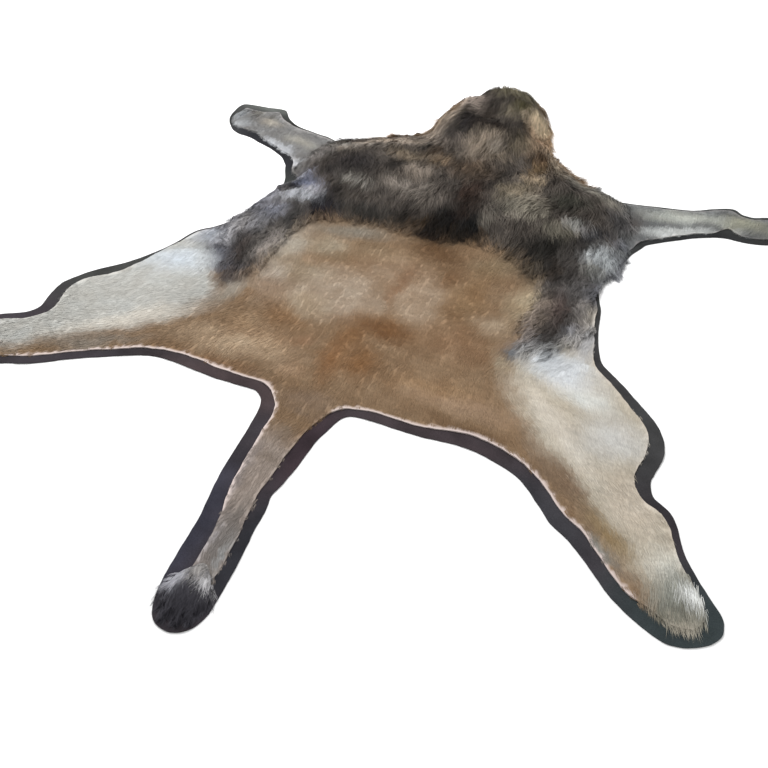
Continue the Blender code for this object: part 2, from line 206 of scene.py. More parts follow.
# Large areas of one colour on the coat. Columns: softness of the rim, colour, corners as x and y.
COAT_AREAS = (
    ("grey of the left side", 60, (0.082, 0.083, 0.100), (
        (-950, 440), (-950, 1000), (-700, 1060), (-430, 1100), (-440, 520), (-520, 440),
    )),
    ("grey of the right side", 50, (0.173, 0.177, 0.196), (
        (480, 440), (470, 1100), (750, 1060), (900, 1000), (900, 440),
    )),
    ("white of the left hind leg", 90, (0.484, 0.480, 0.450), (
        (-800, 640), (-700, 610), (-650, 540), (-600, 480), (-550, 430), (-515, 370), (-495, 300),
        (-530, 220), (-575, 145), (-645, 80), (-730, 15), (-815, -50), (-890, -115), (-970, -185),
        (-1060, -330), (-1210, -330), (-1210, -150), (-1080, 10), (-1010, 160), (-980, 350), (-860, 480),
    )),
    ("white of the right hind leg", 80, (0.470, 0.420, 0.339), (
        (440, 395), (490, 440), (530, 480), (560, 530), (570, 600), (590, 680), (660, 700), (720, 500),
        (860, 400), (950, 250), (950, 100), (1020, 20), (1060, -80), (1140, -170), (1140, -300),
        (1010, -330), (930, -235), (855, -160), (775, -70), (690, 20), (595, 100), (535, 185), (485, 265),
        (450, 335),
    )),
    ("left front leg", 60, (0.195, 0.192, 0.188), (
        (-500, 1010), (-500, 1450), (-1200, 1700), (-1200, 1200), (-700, 1010),
    )),
    ("right front leg", 60, (0.145, 0.150, 0.151), (
        (500, 1010), (500, 1450), (1250, 1600), (1250, 1150), (720, 1010),
    )),
    ("tail", 110, (0.320, 0.266, 0.228), (
        (-100, -130), (-200, -150), (-200, -500), (-200, -900), (200, -900), (200, -500), (200, -150),
        (100, -130), (0, -130),
    )),
)

# Soft patches of colour on the coat. Columns: x, y, half width, half length, turn in degrees, softness
# of the rim from 0 to 1, strength, colour.
COAT_PATCHES = (
    ("cream left rim of the back", -390, 650, 80, 150, 6, 1.0, 0.9, (0.409, 0.366, 0.299)),
    ("cream right rim of the back", 415, 650, 62, 160, 0, 1.0, 0.95, (0.428, 0.347, 0.232)),
    ("yellow upper left of the back", -240, 795, 190, 62, 8, 0.9, 0.9, (0.234, 0.206, 0.165)),
    ("khaki left of the middle", -270, 690, 90, 60, 0, 1.0, 0.8, (0.393, 0.337, 0.249)),
    ("tan right rim, lower", 360, 510, 70, 60, 0, 1.0, 0.8, (0.401, 0.312, 0.217)),
    ("yellow upper right of the back", 270, 790, 85, 80, 0, 0.9, 0.8, (0.232, 0.177, 0.109)),
    ("brown upper middle", 85, 800, 120, 75, 0, 0.9, 0.95, (0.124, 0.067, 0.031)),
    ("pale middle, left", -150, 475, 185, 135, 6, 0.6, 0.9, (0.340, 0.268, 0.199)),
    ("pale middle, lower left", -190, 385, 105, 80, -20, 1.0, 0.9, (0.347, 0.270, 0.186)),
    ("pale middle, right", 110, 530, 90, 145, 8, 0.6, 0.9, (0.315, 0.234, 0.162)),
    ("pale upper middle", 5, 640, 135, 90, 0, 0.7, 0.9, (0.263, 0.180, 0.115)),
    ("pale left of the middle", -310, 540, 130, 80, 0, 1.0, 0.85, (0.288, 0.224, 0.153)),
    ("pale left, lower", -370, 470, 60, 90, 0, 1.0, 0.8, (0.440, 0.386, 0.323)),
    ("brown blot left of the middle", -215, 650, 62, 42, -8, 1.0, 0.9, (0.215, 0.148, 0.087)),
    ("brown upper blot, left", -130, 725, 110, 50, 6, 1.0, 0.8, (0.245, 0.174, 0.107)),
    ("brown blot of the middle", -55, 640, 34, 26, 30, 1.0, 0.6, (0.276, 0.201, 0.135)),
    ("brown blot at the left rim", -290, 590, 30, 40, 0, 1.0, 0.6, (0.404, 0.292, 0.194)),
    ("line down the middle", 24, 575, 24, 170, 2, 1.0, 0.75, (0.202, 0.111, 0.059)),
    ("brown right of the middle", 165, 690, 42, 90, 6, 1.0, 0.9, (0.176, 0.099, 0.049)),
    ("brown upper right", 255, 620, 75, 220, 0, 1.0, 0.9, (0.233, 0.143, 0.073)),
    ("brown left side", -335, 395, 75, 90, 10, 1.0, 0.8, (0.294, 0.209, 0.143)),
    ("brown lower right", 300, 400, 150, 90, -10, 1.0, 0.8, (0.241, 0.141, 0.076)),
    ("russet under the middle", 65, 365, 170, 62, -4, 1.0, 0.95, (0.156, 0.075, 0.029)),
    ("russet lower left", -235, 305, 110, 60, -14, 1.0, 0.85, (0.249, 0.144, 0.072)),
    ("russet left of the spine", -25, 200, 46, 130, 6, 1.0, 0.85, (0.253, 0.126, 0.053)),
    ("russet right of the spine", 60, 210, 80, 90, 0, 1.0, 0.8, (0.220, 0.104, 0.038)),
    ("russet of the spine", -10, 300, 60, 60, 0, 0.9, 0.9, (0.200, 0.101, 0.042)),
    ("pale rump, left", -250, 190, 150, 70, 0, 1.0, 0.8, (0.380, 0.254, 0.154)),
    ("brown blot of the rump, left", -130, 235, 50, 36, 20, 1.0, 0.7, (0.324, 0.188, 0.107)),
    ("brown blot of the rump, far left", -330, 250, 60, 40, -20, 1.0, 0.6, (0.440, 0.305, 0.185)),
    ("brown blot of the rump, low", -120, 110, 60, 30, 0, 1.0, 0.6, (0.391, 0.255, 0.156)),
    ("pale rump, right", 280, 190, 170, 60, 0, 1.0, 0.7, (0.337, 0.216, 0.119)),
    ("dark rear edge, left", -340, 62, 200, 30, 0, 1.0, 0.85, (0.227, 0.129, 0.068)),
    ("dark rear edge, right", 430, 82, 160, 30, -4, 1.0, 0.85, (0.125, 0.070, 0.034)),
    ("tan before the left rear edge", -320, 140, 270, 60, 4, 1.0, 0.8, (0.449, 0.335, 0.225)),
    ("tan before the right rear edge", 380, 150, 190, 36, 0, 1.0, 0.7, (0.354, 0.245, 0.163)),
    ("dark rear edge beside the tail", -170, 45, 70, 22, 0, 1.0, 0.8, (0.159, 0.099, 0.064)),
    # Painted shade: the short fur is darkened, almost to black, along the mane's rear edge, where the mane
    # shades it.
    ("painted shade under the mane, middle", 20, 875, 100, 50, 0, 0.8, 1.0, (0.009, 0.004, 0.002)),
    ("painted shade under the mane's core", 105, 915, 60, 50, 0, 0.9, 1.0, (0.013, 0.009, 0.006)),
    ("painted shade under the mane, left", -240, 890, 210, 44, -4, 1.0, 0.9, (0.026, 0.023, 0.022)),
    ("painted shade under the mane, right", 385, 830, 70, 90, -30, 1.0, 0.9, (0.062, 0.055, 0.042)),
    ("dark strip of the left leg", -690, -12, 200, 30, 28, 1.0, 0.95, (0.239, 0.203, 0.165)),
    ("dark strip of the right leg", 680, 15, 180, 38, -42, 0.9, 0.95, (0.195, 0.132, 0.084)),
    ("tan strip of the right shin", 835, -115, 130, 38, -42, 1.0, 0.85, (0.241, 0.159, 0.065)),
    ("dark tip beside the right flank", 452, 425, 30, 80, -28, 1.0, 1.0, (0.034, 0.030, 0.030)),
    ("dark tip beside the left flank", -475, 405, 40, 60, 10, 1.0, 1.0, (0.061, 0.056, 0.058)),
    ("pale rear edge of the right shin", 815, -160, 90, 16, -39, 0.8, 0.9, (0.211, 0.212, 0.196)),
    ("cream beside the left strip", -660, 105, 280, 46, 38, 1.0, 0.9, (0.630, 0.591, 0.523)),
    ("cream beside the right strip", 640, 160, 240, 45, -44, 0.9, 0.9, (0.578, 0.527, 0.452)),
    ("cream border of the left thigh", -450, 345, 34, 110, -14, 1.0, 0.8, (0.343, 0.316, 0.269)),
    ("cream border of the right thigh", 420, 365, 28, 70, 24, 1.0, 0.8, (0.382, 0.315, 0.222)),
    ("white edge beside the right flank", 630, 545, 42, 130, 0, 1.0, 0.95, (0.50, 0.50, 0.51)),
    ("white edge beside the left flank", -665, 592, 84, 66, 20, 0.9, 1.0, (0.464, 0.477, 0.508)),
    ("white front of the right hind foot", 965, -140, 55, 85, -50, 1.0, 0.9, (0.653, 0.631, 0.560)),
    ("cream of the right shin", 860, 0, 120, 70, -50, 0.9, 0.9, (0.577, 0.512, 0.425)),
    ("snow white left thigh", -690, 430, 150, 95, 15, 1.0, 0.9, (0.600, 0.650, 0.700)),
    ("snow white right thigh", 585, 398, 160, 98, -24, 0.9, 0.9, (0.637, 0.673, 0.712)),
    ("white middle of the right thigh", 690, 295, 95, 50, 0, 1.0, 0.9, (0.668, 0.682, 0.654)),
    # Painted shade: thin darker lines where the thighs' creases lie in shade.
    ("crease of the right thigh", 715, 212, 110, 5, 25, 0.9, 0.45, (0.399, 0.375, 0.330)),
    ("lower crease of the right thigh", 660, 165, 90, 5, 12, 0.9, 0.3, (0.417, 0.377, 0.326)),
    ("crease of the left thigh", -610, 325, 90, 5, -18, 0.9, 0.4, (0.457, 0.427, 0.381)),
    ("lower crease of the left thigh", -810, 92, 95, 4, 10, 0.9, 0.4, (0.416, 0.376, 0.316)),
    ("grey white left shin", -830, 130, 110, 130, 0, 1.0, 0.8, (0.450, 0.443, 0.410)),
    ("grey white right knee", 780, 190, 110, 110, 0, 1.0, 0.6, (0.618, 0.637, 0.647)),
    ("left hind paw", -1070, -220, 90, 110, 0, 0.8, 0.8, (0.520, 0.480, 0.410)),
    ("right hind paw", 1010, -215, 90, 100, 0, 0.8, 0.8, (0.184, 0.206, 0.188)),
    ("white toes of the right hind paw", 1030, -205, 50, 40, 0, 1.0, 1.0, (0.860, 0.870, 0.850)),
    # Painted shade in the gaps between the right hind paw's pale tufts.
    ("painted shade between the right hind paw's tufts", 1000, -275, 70, 22, 20, 1.0, 0.7, (0.141, 0.136, 0.103)),
    ("white edge of the left front leg", -712, 1214, 195, 32, -30, 0.6, 1.0, (0.413, 0.421, 0.438)),
    ("olive left front leg", -690, 1300, 100, 40, -25, 1.0, 0.7, (0.355, 0.337, 0.285)),
    ("yellow left front leg", -870, 1400, 60, 40, -20, 1.0, 0.8, (0.426, 0.384, 0.318)),
    ("white toe of the left front paw", -1025, 1415, 26, 60, 0, 0.8, 0.9, (0.319, 0.336, 0.351)),
    ("white heel of the left front paw", -980, 1355, 60, 24, 24, 0.8, 0.9, (0.488, 0.509, 0.529)),
    ("cream toe of the left front paw", -950, 1445, 36, 26, 0, 0.8, 0.8, (0.301, 0.288, 0.257)),
    ("first dark spot of the paw", -978, 1442, 16, 17, 0, 0.8, 1.0, (0.050, 0.042, 0.038)),
    ("second dark spot of the paw", -938, 1440, 9, 17, 20, 0.8, 1.0, (0.060, 0.055, 0.050)),
    ("third dark spot of the paw", -874, 1436, 16, 22, 0, 0.8, 0.9, (0.110, 0.105, 0.095)),
    ("white edge of the right front leg", 790, 1232, 150, 32, 20, 0.6, 1.0, (0.512, 0.528, 0.516)),
    # Painted shadow: the top of the right front leg is darkened where the mane's right shoulder shades it.
    ("painted shadow of the right shoulder on its leg", 635, 1215, 60, 100, 0, 1.0, 0.9, (0.073, 0.063, 0.058)),
    ("dark middle of the right front leg", 720, 1300, 90, 22, 16, 1.0, 0.7, (0.172, 0.183, 0.167)),
    ("dark end of the right front leg", 935, 1330, 34, 60, 0, 1.0, 0.5, (0.194, 0.194, 0.160)),
    ("green right front leg", 800, 1335, 190, 50, 12, 1.0, 0.9, (0.517, 0.530, 0.479)),
    ("olive right front paw", 990, 1370, 110, 70, 0, 1.0, 0.7, (0.429, 0.421, 0.315)),
    ("white heel of the right front paw", 970, 1312, 40, 20, 0, 0.9, 0.8, (0.445, 0.447, 0.417)),
    ("root of the tail", -10, 10, 130, 52, 0, 1.0, 0.9, (0.226, 0.158, 0.107)),
    ("brown spot of the tail", -5, -125, 46, 42, 0, 1.0, 0.6, (0.214, 0.161, 0.117)),
    ("brown line over the tail", 0, -38, 44, 14, 0, 1.0, 0.6, (0.176, 0.130, 0.097)),
    ("second brown spot of the tail", -8, -205, 40, 20, 0, 1.0, 0.6, (0.167, 0.129, 0.094)),
    ("pale left side of the tail", -40, -290, 20, 150, 8, 1.0, 0.7, (0.233, 0.210, 0.214)),
    ("grey lower half of the tail", 10, -480, 90, 130, 0, 1.0, 0.8, (0.162, 0.152, 0.147)),
    ("dark line down the tail", 24, -450, 13, 130, 2, 1.0, 0.8, (0.173, 0.157, 0.142)),
    ("pale end of the tail", 40, -500, 12, 80, 4, 1.0, 0.8, (0.338, 0.347, 0.348)),
    ("white left edge of the tail", -8, -500, 8, 90, 4, 1.0, 0.8, (0.421, 0.396, 0.408)),
)

# Colours of the tail's tuft, the same columns.
TUFT_PATCHES = (
    ("white hair, left", -16, -580, 24, 34, -24, 0.8, 1.0, (0.62, 0.62, 0.67)),
    ("white hair, right", 52, -570, 26, 26, 30, 0.9, 1.0, (0.56, 0.55, 0.56)),
    ("grey hair, middle", 20, -545, 26, 34, 0, 0.7, 1.0, (0.42, 0.40, 0.385)),
    ("grey tips, left", -10, -618, 20, 18, 0, 1.0, 0.5, (0.16, 0.16, 0.18)),
)

MANE_AREAS = (
    ("left flank", 60, (0.084, 0.076, 0.070), (
        (-800, 300), (-800, 1060), (-560, 1040), (-450, 960), (-400, 850), (-400, 300),
    )),
    ("right flank", 60, (0.054, 0.048, 0.044), (
        (800, 300), (800, 1000), (520, 1000), (430, 900), (390, 800), (390, 300),
    )),
)

MANE_PATCHES = (
    ("dark core", 88, 932, 120, 110, 0, 0.6, 1.0, (0.002, 0.002, 0.002)),
    ("dark left of the core", -40, 922, 105, 38, 0, 0.9, 1.0, (0.007, 0.004, 0.002)),
    ("dark line up the neck", 80, 1110, 50, 150, 0, 0.9, 0.95, (0.036, 0.021, 0.015)),
    ("brown neck", 20, 1290, 120, 110, 0, 1.0, 0.6, (0.097, 0.062, 0.036)),
    ("dark left edge", -230, 890, 220, 50, -4, 0.9, 0.9, (0.019, 0.020, 0.019)),
    ("dark left corner", -385, 885, 62, 120, 16, 0.9, 1.0, (0.009, 0.008, 0.012)),
    ("dark below the left corner", -430, 785, 56, 80, 10, 1.0, 1.0, (0.025, 0.024, 0.023)),
    ("dark right corner", 405, 920, 82, 130, -38, 0.9, 1.0, (0.012, 0.011, 0.009)),
    ("dark below the right corner", 420, 800, 60, 90, 0, 1.0, 1.0, (0.017, 0.015, 0.013)),
    ("dark between the right wisps", 530, 1040, 90, 28, 50, 1.0, 0.95, (0.015, 0.018, 0.023)),
    ("grey above the right corner", 410, 1010, 60, 50, 0, 1.0, 0.9, (0.148, 0.135, 0.104)),
    ("dark above the left slit", -525, 1095, 66, 22, -10, 1.0, 0.9, (0.035, 0.032, 0.035)),
    ("grey right of the core", 175, 1008, 42, 50, 0, 1.0, 0.9, (0.145, 0.129, 0.107)),
    ("grey by the right shoulder", 495, 1060, 36, 50, 0, 1.0, 0.8, (0.229, 0.221, 0.221)),
    ("dark streak right of the neck", 172, 1215, 26, 80, 0, 1.0, 0.8, (0.037, 0.032, 0.026)),
    ("grey of the left leg's top", -545, 1195, 60, 80, -10, 1.0, 0.95, (0.244, 0.223, 0.209)),
    # Painted shadow: the mane's hair at the top of the right front leg is darkened where the right shoulder
    # shades it.
    ("painted shadow of the right shoulder, mane", 630, 1170, 45, 100, 0, 1.0, 0.9, (0.086, 0.076, 0.080)),
    ("brown right edge", 240, 880, 90, 45, 0, 1.0, 0.7, (0.059, 0.052, 0.042)),
    ("green wisp, left", -335, 1050, 85, 38, -14, 0.9, 1.0, (0.295, 0.277, 0.245)),
    ("dark left armpit, inside", -432, 1085, 50, 46, 0, 1.0, 0.9, (0.023, 0.020, 0.020)),
    ("grey wisp, middle left", -130, 1060, 115, 60, -24, 0.9, 1.0, (0.225, 0.195, 0.166)),
    ("grey wisp, neck left", -145, 1185, 75, 75, 0, 0.9, 1.0, (0.243, 0.201, 0.163)),
    ("olive neck, left", -230, 1290, 85, 65, 0, 0.9, 1.0, (0.201, 0.158, 0.112)),
    ("tan neck, left of the middle", -110, 1300, 50, 80, -12, 0.9, 0.9, (0.155, 0.110, 0.070)),
    ("brown streak of the neck, left", -150, 1370, 26, 90, -22, 1.0, 0.8, (0.097, 0.062, 0.035)),
    ("dark left shoulder", -380, 1165, 120, 80, 0, 0.8, 1.0, (0.028, 0.024, 0.023)),
    ("brown left shoulder, top", -430, 1310, 110, 60, -20, 1.0, 0.7, (0.069, 0.058, 0.050)),
    ("pale left rim of the neck", -315, 1385, 230, 58, 42, 0.7, 1.0, (0.411, 0.343, 0.279)),
    ("pale rim of the left shoulder", -450, 1280, 120, 26, 8, 1.0, 1.0, (0.283, 0.264, 0.239)),
    ("beige right of the neck", 250, 1290, 52, 62, 6, 1.0, 0.9, (0.335, 0.261, 0.175)),
    ("olive right of the neck", 225, 1170, 85, 90, 0, 1.0, 0.95, (0.277, 0.227, 0.159)),
    ("grey wisp, right", 265, 1090, 100, 65, -10, 0.8, 1.0, (0.285, 0.258, 0.204)),
    ("pale wisp, right", 300, 1140, 60, 28, -30, 0.9, 1.0, (0.242, 0.215, 0.169)),
    ("dark spot of the right wisp", 262, 1046, 34, 32, 0, 1.0, 0.9, (0.057, 0.048, 0.042)),
    ("pale spot of the right shoulder", 460, 1070, 42, 42, 0, 0.9, 1.0, (0.270, 0.266, 0.245)),
    ("dark right shoulder", 405, 1195, 90, 65, 0, 0.8, 1.0, (0.033, 0.032, 0.025)),
    ("brown right of the neck, top", 330, 1390, 70, 80, -30, 1.0, 0.7, (0.060, 0.043, 0.029)),
    ("tan streak right of the neck", 235, 1400, 34, 100, -8, 0.9, 0.95, (0.131, 0.087, 0.045)),
    ("grey purple right shoulder", 590, 1190, 70, 100, 0, 1.0, 0.8, (0.073, 0.070, 0.071)),
    ("grey neck, top", 90, 1420, 70, 60, 0, 1.0, 0.6, (0.169, 0.133, 0.095)),
    # Painted light: the lit top of the neck's roll, in front of the valley.
    ("painted light on the neck's roll", 0, 1470, 85, 100, -8, 0.8, 1.0, (0.261, 0.212, 0.162)),
    ("brown roll of the neck, left", -120, 1450, 60, 90, 0, 1.0, 0.7, (0.175, 0.145, 0.122)),
    # Painted shadow: the fold between the neck's roll and the crown is darkened by the shade that lies in it.
    ("painted shadow of the valley, left", -100, 1560, 60, 120, -14, 1.0, 1.0, (0.016, 0.014, 0.015)),
    ("painted shadow of the valley, middle", 0, 1570, 110, 60, -14, 1.0, 0.95, (0.010, 0.006, 0.004)),
    ("painted shadow of the valley, right", 110, 1540, 55, 90, 14, 1.0, 0.9, (0.021, 0.017, 0.011)),
    # Painted highlight on the most lit middle of the neck's roll.
    ("painted highlight on the middle of the roll", 55, 1462, 55, 34, 0, 1.0, 0.8, (0.432, 0.373, 0.304)),
    ("tan right of the valley", 165, 1520, 55, 80, 0, 1.0, 0.9, (0.158, 0.128, 0.088)),
    ("tan left of the crown", -190, 1640, 62, 130, 0, 0.9, 1.0, (0.487, 0.402, 0.317)),
    ("brown left of the crown", -100, 1740, 60, 70, 0, 1.0, 0.9, (0.142, 0.115, 0.102)),
    ("pale upper left of the crown", -130, 1720, 62, 80, 0, 0.9, 0.95, (0.460, 0.383, 0.327)),
    ("tan right of the crown", 185, 1610, 60, 170, 14, 1.0, 1.0, (0.382, 0.267, 0.174)),
    ("tan top right of the crown", 160, 1730, 70, 110, 0, 1.0, 1.0, (0.587, 0.480, 0.332)),
    ("cream right rim of the crown", 262, 1560, 30, 190, 16, 0.8, 1.0, (0.467, 0.378, 0.273)),
    ("brown blot right of the neck", 240, 1460, 40, 45, 0, 1.0, 0.9, (0.081, 0.050, 0.030)),
    ("grey middle of the crown", 60, 1700, 60, 80, 0, 1.0, 0.7, (0.127, 0.108, 0.072)),
    # Painted shadow: the valley's shade running up at the left of the crown's middle.
    ("painted shadow of the valley, upper left", -38, 1680, 44, 60, 0, 1.0, 0.9, (0.027, 0.020, 0.015)),
    ("dark spot of the crown", 80, 1745, 42, 50, 0, 0.9, 1.0, (0.050, 0.044, 0.020)),
    ("olive top of the crown", 30, 1822, 110, 52, 0, 1.0, 0.95, (0.130, 0.115, 0.070)),
    ("cream far rim of the crown", 20, 1886, 220, 44, 0, 0.8, 1.0, (0.450, 0.400, 0.315)),
    ("pale left armpit", -560, 1050, 60, 40, -30, 0.9, 1.0, (0.246, 0.258, 0.340)),
    ("lavender left armpit", -510, 1000, 70, 60, -30, 1.0, 0.9, (0.139, 0.154, 0.215)),
    ("pale fan of the left armpit", -450, 950, 60, 34, -20, 1.0, 0.9, (0.373, 0.372, 0.401)),
    # Painted shade in the hollow of the left armpit.
    ("painted shade in the left armpit's slit", -550, 972, 62, 22, -35, 0.6, 1.0, (0.007, 0.007, 0.010)),
    ("grey upper left flank", -535, 790, 60, 80, 0, 0.9, 0.9, (0.224, 0.232, 0.276)),
    ("grey left armpit", -490, 905, 110, 42, 6, 0.9, 1.0, (0.326, 0.335, 0.358)),
    ("pale right armpit", 600, 945, 84, 84, 14, 0.9, 1.0, (0.499, 0.527, 0.536)),
    ("grey right armpit", 600, 860, 80, 50, 0, 1.0, 1.0, (0.358, 0.359, 0.330)),
    ("dark line of the right flank", 450, 800, 32, 90, 4, 0.9, 1.0, (0.039, 0.031, 0.025)),
    # Painted shade in the hollow of the right armpit.
    ("painted shade in the right armpit's slit", 648, 985, 14, 48, -40, 0.7, 1.0, (0.012, 0.012, 0.015)),
    ("blue grey above the right slit", 640, 1070, 50, 60, -30, 1.0, 0.9, (0.213, 0.229, 0.279)),
    ("pale rim below the right armpit", 650, 880, 40, 70, 0, 1.0, 0.9, (0.460, 0.469, 0.466)),
    ("pale rim below the left armpit", -600, 860, 46, 80, 0, 1.0, 0.9, (0.557, 0.556, 0.616)),
    ("pale right rim of the neck", 440, 1350, 190, 52, -36, 0.8, 0.95, (0.237, 0.219, 0.184)),
    ("dark streak of the left flank", -515, 560, 40, 170, 16, 1.0, 1.0, (0.047, 0.037, 0.033)),
    ("dark end of the left flank", -480, 420, 50, 70, 10, 1.0, 0.95, (0.089, 0.079, 0.077)),
    ("dark edge of the left thigh", -595, 482, 60, 50, 20, 1.0, 0.9, (0.142, 0.134, 0.142)),
    ("grey left flank, outside", -545, 710, 50, 90, 8, 1.0, 0.9, (0.285, 0.282, 0.298)),
    ("white edge of the left flank", -655, 582, 100, 66, 20, 0.8, 1.0, (0.591, 0.583, 0.611)),
    ("pale streak of the left flank", -440, 610, 40, 120, 4, 1.0, 1.0, (0.284, 0.252, 0.227)),
    ("pale edge of the left flank", -640, 690, 50, 150, 16, 0.8, 1.0, (0.528, 0.512, 0.521)),
    ("dark streak of the right flank", 520, 640, 40, 130, 0, 1.0, 1.0, (0.102, 0.076, 0.067)),
    ("dark end of the right flank", 450, 420, 50, 80, -16, 1.0, 1.0, (0.082, 0.079, 0.085)),
    ("cream beside the right flank", 462, 600, 40, 150, 0, 1.0, 0.95, (0.320, 0.254, 0.204)),
    ("white edge of the right flank", 600, 532, 52, 56, 0, 1.0, 1.0, (0.349, 0.357, 0.391)),
    ("grey right flank, outside", 545, 760, 50, 90, 0, 1.0, 0.9, (0.120, 0.113, 0.110)),
    ("pale edge of the right flank", 600, 640, 36, 110, 0, 0.8, 1.0, (0.328, 0.301, 0.282)),
)

# The way that the hair lies. Columns: x, y, and the direction's two parts.
FLOW = (
    ("front of the crown", 30, 1900, 0.1, 1.0),
    ("crown", 30, 1780, 0.0, -1.0),
    ("crown, left", -140, 1740, -0.5, -0.9),
    ("crown, left rim", -190, 1700, -1.0, -0.2),
    ("crown, right", 150, 1700, 0.4, -0.9),
    ("crown, right rim", 200, 1690, 1.0, -0.2),
    ("neck", 0, 1550, 0.0, -1.0),
    ("neck, left", -230, 1400, 0.1, -1.0),
    ("neck, left edge", -400, 1440, -0.7, 0.6),
    ("neck, right", 230, 1400, 0.0, -1.0),
    ("neck, right edge", 390, 1430, 0.8, 0.6),
    ("withers", 0, 1200, 0.1, -1.0),
    ("left shoulder", -330, 1200, 0.3, -0.95),
    ("left shoulder, edge", -560, 1220, 0.2, -1.0),
    ("right shoulder", 330, 1200, -0.3, -0.95),
    ("right shoulder, edge", 590, 1200, 0.55, -0.85),
    ("back under the mane", 0, 930, 0.0, -1.0),
    ("left flank", -500, 850, 0.55, -0.85),
    ("left flank, edge", -620, 800, -0.5, -0.85),
    ("left flank, end", -520, 520, 0.45, -0.9),
    ("right flank", 500, 820, -0.55, -0.85),
    ("right flank, edge", 620, 950, 0.6, -0.8),
    ("right flank, lower edge", 600, 700, 0.1, -1.0),
    ("right flank, end", 520, 500, -0.55, -0.85),
    ("back", 0, 600, 0.0, -1.0),
    ("back, left", -320, 500, 0.1, -1.0),
    ("back, right", 320, 500, -0.1, -1.0),
    ("rump", 0, 250, 0.0, -1.0),
    ("rump, left", -320, 200, -0.4, -0.9),
    ("rump, right", 320, 200, 0.4, -0.9),
    ("tail", 0, -120, 0.02, -1.0),
    ("tail, end", 15, -600, 0.05, -1.0),
    ("tuft, left", -40, -590, -0.6, -0.8),
    ("tuft, right", 72, -590, 0.6, -0.8),
    ("tuft, end", 25, -680, 0.05, -1.0),
    ("left thigh", -620, 260, -0.7, -0.75),
    ("left thigh, front", -720, 480, -0.1, -1.0),
    ("left shin", -830, 60, -0.8, -0.6),
    ("left hind paw", -1060, -210, -0.6, -0.8),
    ("right thigh", 600, 240, 0.65, -0.75),
    ("right thigh, front", 640, 450, 0.1, -1.0),
    ("right shin", 820, 20, 0.65, -0.75),
    ("right hind paw", 1010, -220, 0.4, -0.9),
    ("left front leg", -740, 1310, 0.2, -1.0),
    ("left front paw", -1000, 1440, -0.2, -1.0),
    ("right front leg", 760, 1280, 0.0, -1.0),
    ("right front paw", 1000, 1360, -0.3, -0.9),
)

# Where the short fur is longer or shorter than usual. Columns: x, y, half width, half length, turn, gain.
LENGTH_PATCHES = (
    ("left thigh", -720, 360, 200, 330, 24, 0.1),
    ("right thigh", 650, 270, 185, 320, -33, 0.1),
    ("left hind paw", -1060, -215, 100, 110, 0, 1.0),
    ("right hind paw", 1000, -215, 100, 110, 0, 0.7),
    ("left front paw", -990, 1420, 90, 90, 0, 0.8),
    ("right front paw", 1040, 1365, 90, 90, 0, 0.4),
    ("left flank", -620, 760, 140, 300, 0, 0.8),
    ("right flank", 620, 760, 120, 300, 0, 0.8),
    ("middle of the back", 0, 500, 420, 380, 0, -0.25),
)

# Where the short fur is mottled more strongly than usual, the same columns.
MOTTLED_PATCHES = (
    ("back and rump", 0, 420, 620, 620, 0, 0.75),
)

# Where the mane is shorter than usual, the same columns.
MANE_LENGTH_PATCHES = (
    ("left flank", -540, 700, 190, 420, 0, -0.45),
    ("right flank", 530, 690, 180, 400, 0, -0.5),
    ("right armpit", 580, 980, 110, 110, 0, -0.3),
    ("left armpit", -560, 1000, 110, 110, 0, -0.3),
    ("edge over the back", 20, 900, 460, 70, 0, -0.35),
    ("crown", 0, 1760, 260, 220, 0, -0.25),
)

# Where hair stands up more or less than usual, the same columns.
LIFT_PATCHES = (
    ("far rim of the crown", 10, 1900, 260, 90, 0, 1.0),
    ("left rim of the crown", -210, 1720, 110, 150, 0, 1.2),
    ("right rim of the neck", 250, 1560, 90, 260, 14, 1.2),
    ("left edge of the neck", -420, 1450, 190, 60, 36, 0.9),
    ("left edge of the flank", -700, 700, 90, 240, 20, 0.6),
    ("left thigh", -760, 300, 270, 390, 24, -0.6),
    ("right thigh", 690, 250, 230, 350, -33, -0.5),
    ("middle of the back", 0, 520, 330, 260, 0, -0.5),
)

# Where the mane is full up to its rim, the same columns.
FULL_PATCHES = (
    ("crown", 10, 1760, 450, 380, 0, 1.0),
)

# Where the mane lies higher than usual. The same columns, with the height that is added.
RAISED_PATCHES = (
    ("left lobe of the crown", -188, 1672, 112, 165, 0, 42),
    ("left foot of the crown", -238, 1495, 60, 110, 0, -16),
    ("far side of the crown", -10, 1865, 185, 92, 0, 36),
    ("between the crown's lobes", -100, 1790, 62, 58, 0, 18),
    ("right side of the crown", 196, 1700, 62, 130, 0, -30),
    ("right of the valley", 85, 1655, 110, 60, 0, 20),
)

# How far hair may reach past the skin's edge, in place of the usual reach. The same columns, with the
# reach that is added.
SHORT_REACH_PATCHES = (
    ("left hind paw", -1080, -240, 130, 130, 0, 18),
    ("right hind paw", 1020, -240, 130, 130, 0, 20),
    ("left front paw", -1000, 1420, 110, 110, 0, 14),
    ("left front leg, rear edge", -800, 1255, 220, 60, -30, 12),
    ("left thigh, front edge", -780, 520, 70, 150, 20, 12),
    ("end of the tail", 20, -600, 90, 80, 0, 14),
)
MANE_REACH_PATCHES = (
    ("crown", 10, 1830, 420, 380, 0, 80),
    ("left side of the neck", -400, 1430, 260, 110, 36, 26),
    ("right side of the neck", 400, 1430, 240, 110, -36, 26),
    ("right flank", 650, 640, 110, 290, 0, -64),
    ("left flank", -680, 640, 90, 130, 0, -24),
    ("left armpit", -610, 1060, 80, 80, 0, -62),
)

